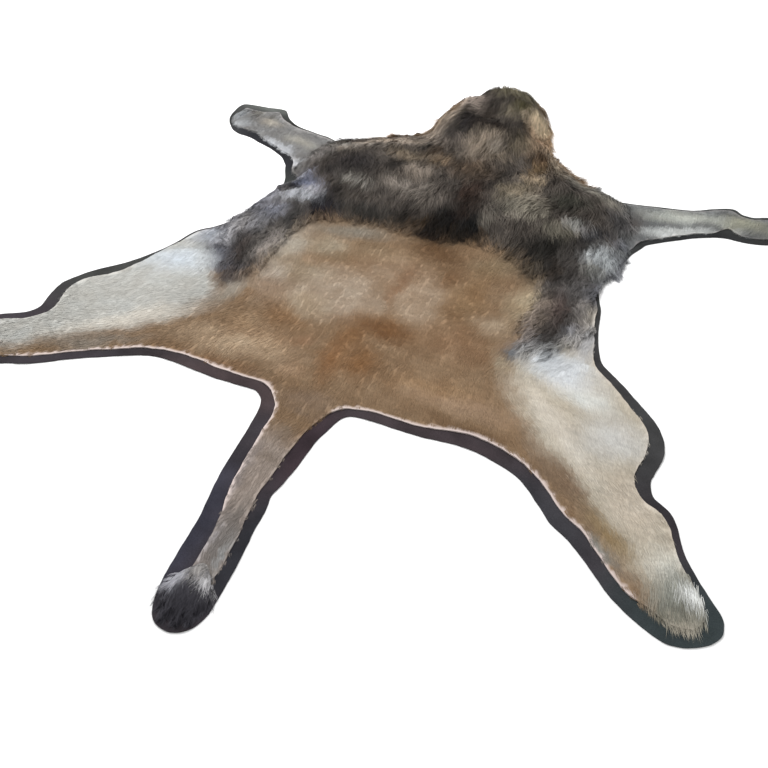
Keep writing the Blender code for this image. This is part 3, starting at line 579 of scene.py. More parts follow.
# How far locks may reach past the mane's rim, in place of a little. The same columns.
MANE_ROOM_PATCHES = (
    ("left rim of the crown", -220, 1700, 130, 200, 0, 52),
    ("far rim of the crown", 20, 1930, 260, 110, 0, 46),
    ("right rim of the crown", 240, 1640, 100, 260, 10, 26),
    ("left side of the neck", -420, 1450, 220, 90, 30, 26),
    ("right side of the neck", 390, 1450, 200, 90, -34, 26),
    ("left shoulder, edge", -580, 1200, 60, 100, 0, 20),
    ("right shoulder, edge", 620, 1180, 60, 110, 0, 30),
    ("left flank", -640, 830, 90, 220, 0, 26),
    ("edge over the back", 0, 860, 460, 120, 0, 16),
    ("end of the left flank", -500, 450, 130, 120, 0, 30),
    ("end of the right flank", 520, 470, 130, 120, 0, 30),
)

# Stretches where the cut edge shows bare, as a pale pink line. Columns: x, y, half width, half length,
# turn, width of the line.
BARE_EDGES = (
    ("rump, left", -330, 30, 420, 60, 0, 9),
    ("left hind leg, rear edge", -700, -70, 240, 60, 30, 7),
    ("rump, right", 350, 40, 380, 60, 0, 9),
    ("right hind leg, rear edge", 680, -70, 200, 60, -42, 8),
    ("right shin, rear edge", 830, -200, 120, 50, -40, 6),
    ("tail, left side", -60, -250, 40, 420, 0, 5),
)

# How hair is toned. Columns: darkness at the root, contrast between strands, between locks and between
# blotches, lightness at the tip, gain, and how the blotches are squeezed along X, Y and Z.
HAIR_TONES = {
    "short fur": (0.08, 0.11, 0.04, 0.22, 0.0, 0.98, (1.1, 3.2, 1)),
    "mane hair": (0.4, 0.45, 0.2, 0.9, 0.2, 1.1, (1, 0.45, 1)),
    "tuft hair": (0.4, 0.5, 0.3, 0.4, 0.3, 1.0, (2, 1, 1)),
}
TONE_SOCKETS = (
    "Root darkness", "Strand contrast", "Lock contrast", "Blotch contrast", "Tip lightness", "Gain",
)


def colour_property(name, description, default):
    """A colour that the user picks."""
    return bpy.props.FloatVectorProperty(
        name=name, description=description, default=default, subtype="COLOR", size=3, min=0, max=1
    )


def length_property(name, description, default):
    """A length in metres."""
    return bpy.props.FloatProperty(
        name=name, description=description, default=default, min=0, unit="LENGTH", precision=4
    )


class RugFeltSettings(bpy.types.PropertyGroup):
    """Sizes and colours of the felt backing."""

    colour: colour_property("Felt colour", "Dark wool felt", (0.036, 0.031, 0.036))
    ripple: length_property("Ripple", "How far the free border lifts off the floor", 3.0 * MM)
    cut: length_property("Uneven cut", "How far the scissors strayed from the line", 1.6 * MM)


class RugHideSettings(bpy.types.PropertyGroup):
    """Sizes and colours of the hide and its short fur."""

    tan: colour_property("Tan coat", "Short fur of the back", (0.237, 0.155, 0.090))
    raw: colour_property("Raw edge", "Cut edge of the dressed skin", (0.60, 0.51, 0.48))
    spacing: length_property("Lock spacing", "Distance between locks of short fur", 15.2 * MM)
    length: length_property("Hair length", "Usual length of the short fur", 25 * MM)
    creases: length_property("Creases", "Height of the small unevenness of the hide", 2.2 * MM)


class RugManeSettings(bpy.types.PropertyGroup):
    """Sizes and colours of the mane."""

    grey: colour_property("Grey hair", "Most of the mane", (0.064, 0.054, 0.046))
    spacing: length_property("Lock spacing", "Distance between locks of the mane", 18.7 * MM)
    length: length_property("Hair length", "Usual length of the mane", 74 * MM)
    reach: length_property("Reach", "How far the mane may hang past the skin's edge", 60 * MM)
    lumps: length_property("Lumps", "Height of the heaps that the hair lies in", 9.0 * MM)


class RugTuftSettings(bpy.types.PropertyGroup):
    """Sizes and colours of the tail's tuft."""

    colour: colour_property("Tuft colour", "Dark hair at the end of the tail", (0.052, 0.050, 0.059))
    spacing: length_property("Lock spacing", "Distance between locks of the tuft", 6.0 * MM)
    length: length_property("Hair length", "Usual length of the tuft's hair", 42 * MM)


class RugStageSettings(bpy.types.PropertyGroup):
    """Floor, lights and camera."""

    floor: colour_property("Floor", "Plain pale floor", (0.88, 0.88, 0.88))
    height: length_property("Camera height", "Height of the camera over the floor", 1.6)
    sky: bpy.props.FloatProperty(name="Sky", description="Strength of the even light", default=0.75, min=0)
    lamp: bpy.props.FloatProperty(
        name="Lamp", description="Power of the large soft lamp", default=190, min=0, unit="POWER"
    )


def smoothstep(values):
    """From 0 to 1, flat at both ends."""
    share = np.clip(values, 0, 1)
    return share * share * (3 - 2 * share)


def from_tail_root(points):
    """Places of points of the frame as the tables give them, in millimetres."""
    return (points[:, :2] - TAIL_ROOT) / MM


def reach_of(points, x, y, half_width, half_length, degrees):
    """0 at the middle of a turned ellipse and 1 on its rim. Points are in the tables' millimetres."""
    turn = math.radians(degrees)
    offset = points - np.array([x, y])
    across = offset[:, 0] * math.cos(turn) + offset[:, 1] * math.sin(turn)
    along = offset[:, 1] * math.cos(turn) - offset[:, 0] * math.sin(turn)
    return np.hypot(across / half_width, along / half_length)


def wander(points, size, seed):
    """Smooth noise from -1 to 1 at each point, with the given size of its waves in metres."""
    shift = Vector((seed * 7.31, seed * 3.77, seed * 1.93))
    return np.array([noise.noise(Vector((x / size, y / size, 0)) + shift) for x, y in points[:, :2]])


def waves(points, rows):
    """Smooth noise added up from rows of strength, size and seed."""
    return sum(strength * wander(points, size, seed) for strength, size, seed in rows)


def strayed(points, amount, size, seed):
    """The points moved about by smooth noise, so that what is drawn with them gets an uneven rim."""
    move = np.column_stack([wander(points, size, seed), wander(points, size, seed + 1)])
    fine = np.column_stack([wander(points, size / 4, seed + 2), wander(points, size / 4, seed + 3)])
    return points[:, :2] + (move + fine * 0.4) * amount


def smooth_loop(points, step):
    """A closed Catmull-Rom curve through the points, with a point about every step."""
    found = []
    for index in range(len(points)):
        before, start, end, after = (points[(index + offset) % len(points)] for offset in (-1, 0, 1, 2))
        pieces = max(1, round(np.linalg.norm(end - start) / step))
        for t in np.arange(pieces) / pieces:
            bend = (2 * before - 5 * start + 4 * end - after) * t**2
            twist = (3 * start - before - 3 * end + after) * t**3
            found.append(start + 0.5 * ((end - before) * t + bend + twist))
    return np.array(found)


def outward_normals(loop):
    """A unit vector for each point of a counter-clockwise loop, out of it."""
    along = np.roll(loop, -1, axis=0) - np.roll(loop, 1, axis=0)
    out = np.column_stack([along[:, 1], -along[:, 0]])
    return out / np.linalg.norm(out, axis=1, keepdims=True)


def nearest_on(points, loop):
    """The nearest point of the loop for each point."""
    found = []
    span = np.roll(loop, -1, axis=0) - loop
    for some in np.array_split(points[:, :2], max(1, len(points) // POINTS_AT_ONCE)):
        offset = some[:, None, :] - loop[None]
        share = np.clip((offset * span).sum(-1) / (span**2).sum(-1), 0, 1)
        away = offset - share[..., None] * span
        best = np.linalg.norm(away, axis=-1).argmin(axis=1)
        found.append(some - away[np.arange(len(some)), best])
    return np.vstack(found)


def room_ahead(points, ways, loop):
    """How far it is from each point to the loop along a given direction, and 0 from outside the loop."""
    found = []
    span = np.roll(loop, -1, axis=0) - loop
    parts = max(1, len(points) // POINTS_AT_ONCE)
    for some, way in zip(np.array_split(points[:, :2], parts), np.array_split(ways[:, :2], parts)):
        offset = loop[None] - some[:, None, :]
        cross = way[:, None, 0] * span[:, 1] - way[:, None, 1] * span[:, 0]
        cross = np.where(np.abs(cross) < 1e-12, 1e-12, cross)
        distance = (offset[..., 0] * span[:, 1] - offset[..., 1] * span[:, 0]) / cross
        share = (offset[..., 0] * way[:, None, 1] - offset[..., 1] * way[:, None, 0]) / cross
        ahead = (distance > 0) & (share >= 0) & (share < 1)
        crossings = ahead.sum(axis=1)
        nearest = np.where(ahead, distance, np.inf).min(axis=1)
        found.append(np.where(crossings % 2 == 1, nearest, 0))
    return np.concatenate(found)


def depth_inside(points, loop):
    """How far each point lies inside the loop, negative outside it."""
    distance = np.linalg.norm(points[:, :2] - nearest_on(points, loop), axis=1)
    level = np.tile([1.0, 1e-7], (len(points), 1))
    return np.where(room_ahead(points, level, loop) > 0, distance, -distance)


def merged_node(name):
    """A CAD node's mesh with its loose triangles joined."""
    mesh = bmesh.new()
    mesh.from_mesh(frame["nodes"][name].data)
    bmesh.ops.remove_doubles(mesh, verts=mesh.verts, dist=0.02 * MM)
    mesh.normal_update()
    return mesh


def node_outline(name):
    """The rim of a CAD node seen from above, counter-clockwise: where its top meets its upright wall."""
    mesh = merged_node(name)
    near = {}
    for edge in mesh.edges:
        tilts = sorted(face.normal.z for face in edge.link_faces)
        if len(tilts) == 2 and tilts[1] > UPRIGHT and abs(tilts[0]) <= UPRIGHT:
            one, two = edge.verts
            near.setdefault(one, []).append(two)
            near.setdefault(two, []).append(one)
    first = next(iter(near))
    loop = [first, near[first][0]]
    while len(loop) < len(near):
        loop.append(next(vertex for vertex in near[loop[-1]] if vertex != loop[-2]))
    points = np.array([vertex.co.xy[:] for vertex in loop])
    mesh.free()
    x, y = points.T
    turns_left = np.dot(x, np.roll(y, -1)) - np.dot(y, np.roll(x, -1)) > 0
    return points if turns_left else points[::-1]


def tree_of(name):
    """A search tree of a CAD node's faces."""
    mesh = merged_node(name)
    tree = BVHTree.FromBMesh(mesh)
    mesh.free()
    return tree


def heights(tree, points, from_above):
    """The height of a node's top or underside at each point, or of its nearest face past its rim."""
    start, down = (1.0, Vector((0, 0, -1))) if from_above else (-1.0, Vector((0, 0, 1)))
    found = []
    for x, y in points[:, :2]:
        hit = tree.ray_cast(Vector((x, y, start)), down)[0]
        if hit is None:
            hit = tree.find_nearest(Vector((x, y, 0.01)))[0]
        found.append(hit.z)
    return np.array(found)


def filled(outline, size):
    """Points and triangles that fill an outline: the outline's points first, then rows of inner ones."""
    low = outline.min(axis=0)
    high = outline.max(axis=0)
    inner = []
    for number, y in enumerate(np.arange(low[1], high[1], size * ROW_SHARE)):
        start = low[0] + size / 2 * (number % 2)
        inner += [(x, y) for x in np.arange(start, high[0], size)]
    inner = np.array(inner)
    inner = inner[depth_inside(inner, outline) > size * EDGE_SHARE]
    points = [Vector(point) for point in np.vstack([outline, inner])]
    loop = list(range(len(outline)))
    placed, _, faces, *_ = delaunay_2d_cdt(points, [], [loop], 0, 1e-7, False)
    placed = np.array([tuple(point) for point in placed])
    faces = np.array(faces)
    return placed, faces[depth_inside(placed[faces].mean(axis=1), outline) > 0]


def relaxed(values, faces, rounds):
    """Heights evened out over the triangles, the same number of rounds everywhere."""
    edges = np.vstack([faces[:, [0, 1]], faces[:, [1, 2]], faces[:, [2, 0]]])
    count = np.bincount(edges.ravel(), minlength=len(values))
    for _ in range(rounds):
        total = np.bincount(edges[:, 0], values[edges[:, 1]], len(values))
        total += np.bincount(edges[:, 1], values[edges[:, 0]], len(values))
        values = KEPT_SHARE * values + (1 - KEPT_SHARE) * total / np.maximum(count, 1)
    return values


def sheet_between(name, points, faces, bottom, top):
    """A closed sheet over the triangles, from the heights bottom to the heights top."""
    count = len(points)
    places = np.vstack([np.column_stack([points, top]), np.column_stack([points, bottom])])
    edges = np.vstack([faces[:, [0, 1]], faces[:, [1, 2]], faces[:, [2, 0]]])
    known = {(a, b) for a, b in edges.tolist()}
    rim = [(a, b) for a, b in known if (b, a) not in known]
    walls = [(a, a + count, b + count, b) for a, b in rim]
    under = faces[:, ::-1] + count
    mesh = bpy.data.meshes.new(name)
    mesh.from_pydata(places.tolist(), [], faces.tolist() + under.tolist() + walls)
    mesh.validate()
    mesh.shade_smooth()
    mesh.set_sharp_from_angle(angle=math.radians(60))
    made = bpy.data.objects.new(name, mesh)
    bpy.context.scene.collection.objects.link(made)
    return made


def store(mesh, name, kind, values):
    """Puts values on the mesh's points as a named attribute."""
    attribute = mesh.attributes.new(name, kind, "POINT")
    key = {"FLOAT": "value", "FLOAT_VECTOR": "vector", "FLOAT_COLOR": "color"}[kind]
    attribute.data.foreach_set(key, np.asarray(values, np.float32).ravel())


def carry(sheet, **values):
    """Stores what a sheet's own surface and the locks on it read, by name."""
    kinds = {"base": "FLOAT_COLOR", "coat": "FLOAT_COLOR", "flow": "FLOAT_VECTOR"}
    for name, value in values.items():
        store(sheet.data, name, kinds.get(name, "FLOAT"), value)


def upper_half(places):
    """Which points of a closed sheet are on its upper side: the first half of them."""
    return np.arange(len(places)) < len(places) // 2


def lying_below():
    """The meshes of the hide and the felt."""
    return [bpy.data.objects[name].data for name in ("hide", "felt_sheet")]


def places_of(mesh):
    """The places of a mesh's points."""
    values = np.zeros(len(mesh.vertices) * 3, np.float32)
    mesh.vertices.foreach_get("co", values)
    return values.reshape(-1, 3).astype(float)


def patched(points, base, areas, patches, stray):
    """The coat's colour at each point: the base, and over it each area and patch with an uneven rim."""
    spots = from_tail_root(strayed(points, stray, STRAY_SIZE, 3))
    colour = np.tile(np.array(base, float), (len(points), 1))
    for _, softness, tone, corners in areas:
        rim = smooth_loop(np.array(corners, float), AREA_OUTLINE_STEP)
        share = smoothstep(depth_inside(spots, rim) / softness + 0.5)
        colour += (np.array(tone) - colour) * share[:, None]
    for _, x, y, half_width, half_length, degrees, softness, strength, tone in patches:
        reach = reach_of(spots, x, y, half_width * PATCH_REACH, half_length * PATCH_REACH, degrees)
        share = smoothstep((1 - reach) / softness) * strength
        colour += (np.array(tone) - colour) * share[:, None]
    return colour


def summed(points, base, patches):
    """The base, with what each patch adds near its middle."""
    spots = from_tail_root(points)
    total = np.full(len(points), float(base))
    for _, x, y, half_width, half_length, degrees, gain in patches:
        reach = reach_of(spots, x, y, half_width, half_length, degrees)
        total += gain * smoothstep((1 - reach) * SOFT_END)
    return total


def greatest(points, patches):
    """The greatest value among the patches that each point lies in, and 0 elsewhere."""
    spots = from_tail_root(points)
    most = np.zeros(len(points))
    for _, x, y, half_width, half_length, degrees, value in patches:
        reach = reach_of(spots, x, y, half_width, half_length, degrees)
        most = np.maximum(most, smoothstep((1 - reach) * STEEP_END) * value)
    return most


def flow_at(points, turn, size, seed):
    """The way the hair lies at each point, with smooth swirls of up to this turn, in degrees."""
    spots = from_tail_root(points)
    total = np.zeros((len(points), 2))
    for _, x, y, right, head in FLOW:
        way = np.array([right, head]) / math.hypot(right, head)
        weight = 1 / (np.hypot(spots[:, 0] - x, spots[:, 1] - y) + FLOW_BLUR) ** 3
        total += weight[:, None] * way
    swirl = wander(points, size, seed) + 0.4 * wander(points, size / 3, seed + 1)
    angle = np.arctan2(total[:, 1], total[:, 0]) + np.radians(turn) * swirl * 1.4
    return np.column_stack([np.cos(angle), np.sin(angle), np.zeros(len(points))])


def new_group(name, kind, inputs, outputs):
    """An empty node group with named sockets, each given as (name, type, default)."""
    group = bpy.data.node_groups.new(name, kind)
    for label, socket, default in inputs:
        made = group.interface.new_socket(label, in_out="INPUT", socket_type=socket)
        if default is not None:
            made.default_value = default
    for label, socket in outputs:
        group.interface.new_socket(label, in_out="OUTPUT", socket_type=socket)
    return group


def add_node(tree, kind, **settings):
    """A new node, with settings such as its operation or data type."""
    node = tree.nodes.new(kind)
    for key, value in settings.items():
        setattr(node, key, value)
    return node


def fill(tree, socket, value):
    """Links a socket to another one, or sets its number or colour."""
    if isinstance(value, bpy.types.NodeSocket):
        tree.links.new(value, socket)
    else:
        socket.default_value = value


def math_node(tree, operation, first, second):
    """A Math node on two sockets or numbers. Returns its output."""
    node = add_node(tree, "ShaderNodeMath", operation=operation)
    fill(tree, node.inputs[0], first)
    fill(tree, node.inputs[1], second)
    return node.outputs[0]


def combined(tree, **parts):
    """A vector put together from sockets or numbers, 0 where none is given."""
    node = add_node(tree, "ShaderNodeCombineXYZ")
    for axis, value in parts.items():
        fill(tree, node.inputs[axis], value)
    return node.outputs[0]


def separated(tree, vector):
    """The parts of a vector, by axis."""
    node = add_node(tree, "ShaderNodeSeparateXYZ")
    tree.links.new(vector, node.inputs[0])
    return node.outputs


def named_field(tree, name, kind="FLOAT"):
    """A named attribute of the mesh."""
    node = add_node(tree, "GeometryNodeInputNamedAttribute", data_type=kind)
    node.inputs["Name"].default_value = name
    return node.outputs["Attribute"]


def random_field(tree, seed, low=None, high=None):
    """A random number between the sockets low and high, or between 0 and 1."""
    node = add_node(tree, "FunctionNodeRandomValue", data_type="FLOAT")
    if low is not None:
        tree.links.new(low, node.inputs[2])
        tree.links.new(high, node.inputs[3])
    tree.links.new(seed, node.inputs["Seed"])
    return node.outputs[1]


def locks_tree():
    """Geometry Nodes that lay locks of hair over a sheet and drop them on what lies under them."""
    inputs = (
        ("Geometry", "NodeSocketGeometry", None),
        ("Lock shapes", "NodeSocketCollection", None),
        ("Ground", "NodeSocketObject", None),
        ("Spacing", "NodeSocketFloat", 0.01),
        ("Seed", "NodeSocketInt", 1),
        ("Turn", "NodeSocketFloat", 0.2),
        ("Least scale", "NodeSocketFloat", 0.8),
        ("Most scale", "NodeSocketFloat", 1.2),
        ("Clearance", "NodeSocketFloat", 0.0005),
        ("Material", "NodeSocketMaterial", None),
    )
    tree = new_group("lay locks", "GeometryNodeTree", inputs, (("Geometry", "NodeSocketGeometry"),))
    link = tree.links.new
    given = add_node(tree, "NodeGroupInput").outputs
    result = add_node(tree, "NodeGroupOutput")

    spread = add_node(tree, "GeometryNodeDistributePointsOnFaces", distribute_method="POISSON")
    link(given["Geometry"], spread.inputs["Mesh"])
    link(given["Spacing"], spread.inputs["Distance Min"])
    most = math_node(tree, "DIVIDE", 3.0, math_node(tree, "MULTIPLY", given["Spacing"], given["Spacing"]))
    link(most, spread.inputs["Density Max"])
    link(named_field(tree, "hairy"), spread.inputs["Density Factor"])
    link(given["Seed"], spread.inputs["Seed"])

    here = separated(tree, add_node(tree, "GeometryNodeInputPosition").outputs[0])
    level = add_node(tree, "GeometryNodeSetPosition")
    link(spread.outputs["Points"], level.inputs["Geometry"])
    link(combined(tree, X=here["X"], Y=here["Y"]), level.inputs["Position"])

    aligned = add_node(tree, "FunctionNodeAlignRotationToVector", axis="Y", pivot_axis="Z")
    link(named_field(tree, "flow", "FLOAT_VECTOR"), aligned.inputs["Vector"])
    least_turn = math_node(tree, "MULTIPLY", given["Turn"], -1.0)
    swing = random_field(tree, given["Seed"], least_turn, given["Turn"])
    turned = add_node(tree, "FunctionNodeRotateRotation", rotation_space="LOCAL")
    link(aligned.outputs[0], turned.inputs["Rotation"])
    link(combined(tree, Z=swing), turned.inputs["Rotate By"])

    next_seed = math_node(tree, "ADD", given["Seed"], 1.0)
    uneven = random_field(tree, next_seed, given["Least scale"], given["Most scale"])
    scale = math_node(tree, "MULTIPLY", named_field(tree, "length"), uneven)
    wide = math_node(tree, "ADD", math_node(tree, "MULTIPLY", scale, 0.4), 0.6)
    upright = math_node(tree, "ADD", math_node(tree, "MULTIPLY", scale, 0.7), 0.3)
    lifted = math_node(tree, "MULTIPLY", upright, named_field(tree, "lift"))

    shapes = add_node(tree, "GeometryNodeCollectionInfo")
    link(given["Lock shapes"], shapes.inputs["Collection"])
    shapes.inputs["Separate Children"].default_value = True
    shapes.inputs["Reset Children"].default_value = True
    laid = add_node(tree, "GeometryNodeInstanceOnPoints")
    laid.inputs["Pick Instance"].default_value = True
    link(level.outputs[0], laid.inputs["Points"])
    link(shapes.outputs[0], laid.inputs["Instance"])
    link(turned.outputs[0], laid.inputs["Rotation"])
    link(combined(tree, X=wide, Y=scale, Z=lifted), laid.inputs["Scale"])

    kept = add_node(tree, "GeometryNodeStoreNamedAttribute", data_type="FLOAT", domain="INSTANCE")
    kept.inputs["Name"].default_value = "shade"
    link(laid.outputs[0], kept.inputs["Geometry"])
    link(random_field(tree, math_node(tree, "ADD", given["Seed"], 2.0)), kept.inputs["Value"])
    real = add_node(tree, "GeometryNodeRealizeInstances")
    link(kept.outputs[0], real.inputs["Geometry"])

    ground = add_node(tree, "GeometryNodeObjectInfo", transform_space="RELATIVE")
    link(given["Ground"], ground.inputs["Object"])
    spot = separated(tree, add_node(tree, "GeometryNodeInputPosition").outputs[0])
    cast = add_node(tree, "GeometryNodeRaycast", data_type="FLOAT")
    link(ground.outputs["Geometry"], cast.inputs["Target Geometry"])
    link(combined(tree, X=spot["X"], Y=spot["Y"], Z=1.0), cast.inputs["Source Position"])
    cast.inputs["Ray Direction"].default_value = (0, 0, -1)
    cast.inputs["Ray Length"].default_value = 2.0
    hit = separated(tree, cast.outputs["Hit Position"])
    clear = math_node(tree, "ADD", spot["Z"], given["Clearance"])
    height = math_node(tree, "ADD", hit["Z"], clear)
    settled = add_node(tree, "GeometryNodeSetPosition")
    link(real.outputs[0], settled.inputs["Geometry"])
    link(combined(tree, X=spot["X"], Y=spot["Y"], Z=height), settled.inputs["Position"])

    painted = add_node(tree, "GeometryNodeSetMaterial")
    link(settled.outputs[0], painted.inputs["Geometry"])
    link(given["Material"], painted.inputs["Material"])
    link(painted.outputs[0], result.inputs["Geometry"])
    return tree


def lock_shape(name, seed, strands, steps, length, spread, width, rise, curl, gather):
    """One small lock lying along +Y: flat strands that start side by side and gather toward the tip."""
    chance = np.random.default_rng(seed)
    t = np.linspace(0, 1, steps + 1)
    points, faces, along, tone = [], [], [], []
    sway = chance.uniform(-1, 1)
    for _ in range(strands):
        side, back = chance.uniform(-1, 1, 2)
        own = chance.uniform(0.65, 1.05)
        x = side * spread * (1 - gather * t**1.2) + curl * sway * t**2 * length
        x += chance.uniform(-0.5, 0.5) * curl * length * np.sin(t * chance.uniform(2, 5))
        y = back * spread * 0.9 + own * length * t
        roll = chance.uniform(-0.6, 0.6)
        half = width / 2 * (1 - t) ** 0.5 * chance.uniform(0.7, 1.3)
        z = rise * chance.uniform(0.1, 1) * np.sin(math.pi * np.clip(t * 0.85 + 0.05, 0, 1)) ** 0.8
        z = np.maximum(z, half * abs(math.sin(roll)))
        shift = np.column_stack([half * math.cos(roll), np.zeros_like(half), half * math.sin(roll)])
        line = np.column_stack([x, y, z])
        first = len(points)
        for index in range(steps):
            points += [line[index] - shift[index], line[index] + shift[index]]
            along += [t[index], t[index]]
        points.append(line[-1])
        along.append(1.0)
        tone += [chance.uniform(0, 1)] * (2 * steps + 1)
        for index in range(steps - 1):
            a = first + 2 * index
            faces.append((a, a + 1, a + 3, a + 2))
        faces.append((first + 2 * steps - 2, first + 2 * steps - 1, first + 2 * steps))
    mesh = bpy.data.meshes.new(name)
    mesh.from_pydata([tuple(point) for point in points], [], faces)
    mesh.shade_smooth()
    store(mesh, "along", "FLOAT", along)
    store(mesh, "strand", "FLOAT", tone)
    return bpy.data.objects.new(name, mesh)


def lock_shapes(name, kinds, **sizes):
    """A collection of lock shapes, all of one size and each different."""
    group = bpy.data.collections.new(name)
    bpy.context.scene.collection.children.link(group)
    for number in range(kinds):
        group.objects.link(lock_shape(f"{name}_{number}", 11 + number, **sizes))
    return group


def ground_of(name, pieces):
    """One object of several meshes and the floor, for hair to fall on."""
    mesh = bmesh.new()
    for piece in pieces:
        mesh.from_mesh(piece)
    bmesh.ops.create_grid(mesh, x_segments=1, y_segments=1, size=4.0)
    data = bpy.data.meshes.new(name)
    mesh.to_mesh(data)
    mesh.free()
    made = bpy.data.objects.new(name, data)
    bpy.context.scene.collection.objects.link(made)
    made.hide_render = True
    return made


def grown(name, sheet, shapes, ground, material, slot, **sizes):
    """Hair on a sheet, as one plain mesh that rides on the rug."""
    tree = bpy.data.node_groups.get("lay locks") or locks_tree()
    carrier = sheet.copy()
    carrier.data = sheet.data.copy()
    bpy.context.scene.collection.objects.link(carrier)
    modifier = carrier.modifiers.new("locks", "NODES")
    modifier.node_group = tree
    values = {"Lock shapes": shapes, "Ground": ground, "Material": material, **sizes}
    for item in tree.interface.items_tree:
        if item.in_out == "INPUT" and item.name in values:
            modifier[item.identifier] = values[item.name]
    graph = bpy.context.evaluated_depsgraph_get()
    mesh = bpy.data.meshes.new_from_object(carrier.evaluated_get(graph))
    bpy.data.objects.remove(carrier)
    mesh.name = name
    for attribute in ("flow", "length", "hairy", "lift", "edge", "base"):
        if attribute in mesh.attributes:
            mesh.attributes.remove(mesh.attributes[attribute])
    made = bpy.data.objects.new(name, mesh)
    bpy.context.scene.collection.objects.link(made)
    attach(made, "root")
    return made


def principled(name, **constants):
    """A new material, its tree and its Principled shader. Constants go on the shader's own sockets."""
    material = bpy.data.materials.new(name)
    material.use_nodes = True
    shader = material.node_tree.nodes["Principled BSDF"]
    for socket, value in constants.items():
        shader.inputs[socket].default_value = value
    return material, material.node_tree, shader


def attribute_of(tree, name, output):
    """The socket of a named attribute."""
    return add_node(tree, "ShaderNodeAttribute", attribute_name=name).outputs[output]


def strand_tone_group():
    """A shader group that varies a coat's colour from strand to strand and from root to tip."""
    inputs = (
        ("Coat", "NodeSocketColor", (0.3, 0.2, 0.1, 1)),
        ("Along", "NodeSocketFloat", 0.5),
        ("Strand", "NodeSocketFloat", 0.5),
        ("Shade", "NodeSocketFloat", 0.5),
        ("Root darkness", "NodeSocketFloat", 0.5),
        ("Strand contrast", "NodeSocketFloat", 0.4),
        ("Lock contrast", "NodeSocketFloat", 0.3),
        ("Tip lightness", "NodeSocketFloat", 0.2),
        ("Gain", "NodeSocketFloat", 1.0),
        ("Blotch", "NodeSocketFloat", 0.5),
        ("Blotch contrast", "NodeSocketFloat", 0.3),
    )
    outputs = (("Colour", "NodeSocketColor"), ("Roughness", "NodeSocketFloat"))
    group = new_group("strand tone", "ShaderNodeTree", inputs, outputs)
    link = group.links.new
    given = add_node(group, "NodeGroupInput").outputs
    result = add_node(group, "NodeGroupOutput")
    from_root = math_node(group, "POWER", given["Along"], ROOT_POWER)
    dark = math_node(group, "MULTIPLY", math_node(group, "SUBTRACT", 1.0, from_root), given["Root darkness"])
    root = math_node(group, "SUBTRACT", 1.0, dark)
    middled = [math_node(group, "SUBTRACT", given[name], 0.5) for name in ("Strand", "Shade", "Blotch")]
    strand = math_node(group, "MULTIPLY", middled[0], given["Strand contrast"])
    lock = math_node(group, "MULTIPLY", middled[1], given["Lock contrast"])
    blotch = math_node(group, "MULTIPLY", middled[2], given["Blotch contrast"])
    near_tip = math_node(group, "POWER", given["Along"], TIP_POWER)
    tip = math_node(group, "MULTIPLY", near_tip, given["Tip lightness"])
    of_lock = math_node(group, "ADD", math_node(group, "ADD", strand, lock), blotch)
    bright = math_node(group, "ADD", of_lock, math_node(group, "ADD", tip, 1.0))
    value = math_node(group, "MULTIPLY", math_node(group, "MULTIPLY", bright, root), given["Gain"])
    tinted = add_node(group, "ShaderNodeVectorMath", operation="SCALE")
    link(given["Coat"], tinted.inputs[0])
    link(value, tinted.inputs["Scale"])
    link(tinted.outputs["Vector"], result.inputs["Colour"])
    more = math_node(group, "MULTIPLY", given["Strand"], ROUGHNESS_RANGE)
    link(math_node(group, "ADD", LEAST_ROUGHNESS, more), result.inputs["Roughness"])
    return group


def hair_material(name):
    """Hair that takes its colour from the coat where it lies, in streaks and stretched blotches."""
    material, tree, shader = principled(name, **{"Specular IOR Level": 0.06})
    group = add_node(tree, "ShaderNodeGroup")
    group.node_tree = bpy.data.node_groups.get("strand tone") or strand_tone_group()
    tree.links.new(attribute_of(tree, "coat", "Color"), group.inputs["Coat"])
    for attribute, socket in (("along", "Along"), ("strand", "Strand"), ("shade", "Shade")):
        tree.links.new(attribute_of(tree, attribute, "Fac"), group.inputs[socket])
    *amounts, stretch = HAIR_TONES[name]
    for socket, value in zip(TONE_SOCKETS, amounts):
        group.inputs[socket].default_value = value
    wisps = noise_texture(tree, 26, 4, stretch, 0.55, 0.8)
    tree.links.new(ramped(tree, wisps, 0.3, 0.7), group.inputs["Blotch"])
    tree.links.new(group.outputs["Colour"], shader.inputs["Base Color"])
    tree.links.new(group.outputs["Roughness"], shader.inputs["Roughness"])
    return material


def noise_texture(tree, scale, detail, stretch=(1, 1, 1), roughness=0.5, distortion=0.0):
    """A Noise Texture on Object coordinates. Returns its value."""
    where = add_node(tree, "ShaderNodeTexCoord")
    mapping = add_node(tree, "ShaderNodeMapping")
    mapping.inputs["Scale"].default_value = stretch
    tree.links.new(where.outputs["Object"], mapping.inputs["Vector"])
    texture = add_node(tree, "ShaderNodeTexNoise")
    tree.links.new(mapping.outputs[0], texture.inputs["Vector"])
    texture.inputs["Scale"].default_value = scale
    texture.inputs["Detail"].default_value = detail
    texture.inputs["Roughness"].default_value = roughness
    texture.inputs["Distortion"].default_value = distortion
    return texture.outputs[0]


def toned(tree, colour, value, span, tones):
    """A colour made darker or lighter, between two factors, where a value goes from low to high."""
    dark, light = tones
    tone = mixed(tree, ramped(tree, value, *span), (dark,) * 3, (light,) * 3)
    node = add_node(tree, "ShaderNodeVectorMath", operation="MULTIPLY")
    tree.links.new(colour, node.inputs[0])
    tree.links.new(tone, node.inputs[1])
    return node.outputs[0]


def mixed(tree, share, first, second):
    """A colour between two, each a socket or three numbers."""
    node = add_node(tree, "ShaderNodeMix", data_type="RGBA")
    tree.links.new(share, node.inputs[0])
    for socket, value in ((node.inputs[6], first), (node.inputs[7], second)):
        fill(tree, socket, value if isinstance(value, bpy.types.NodeSocket) else (*value, 1))
    return node.outputs[2]


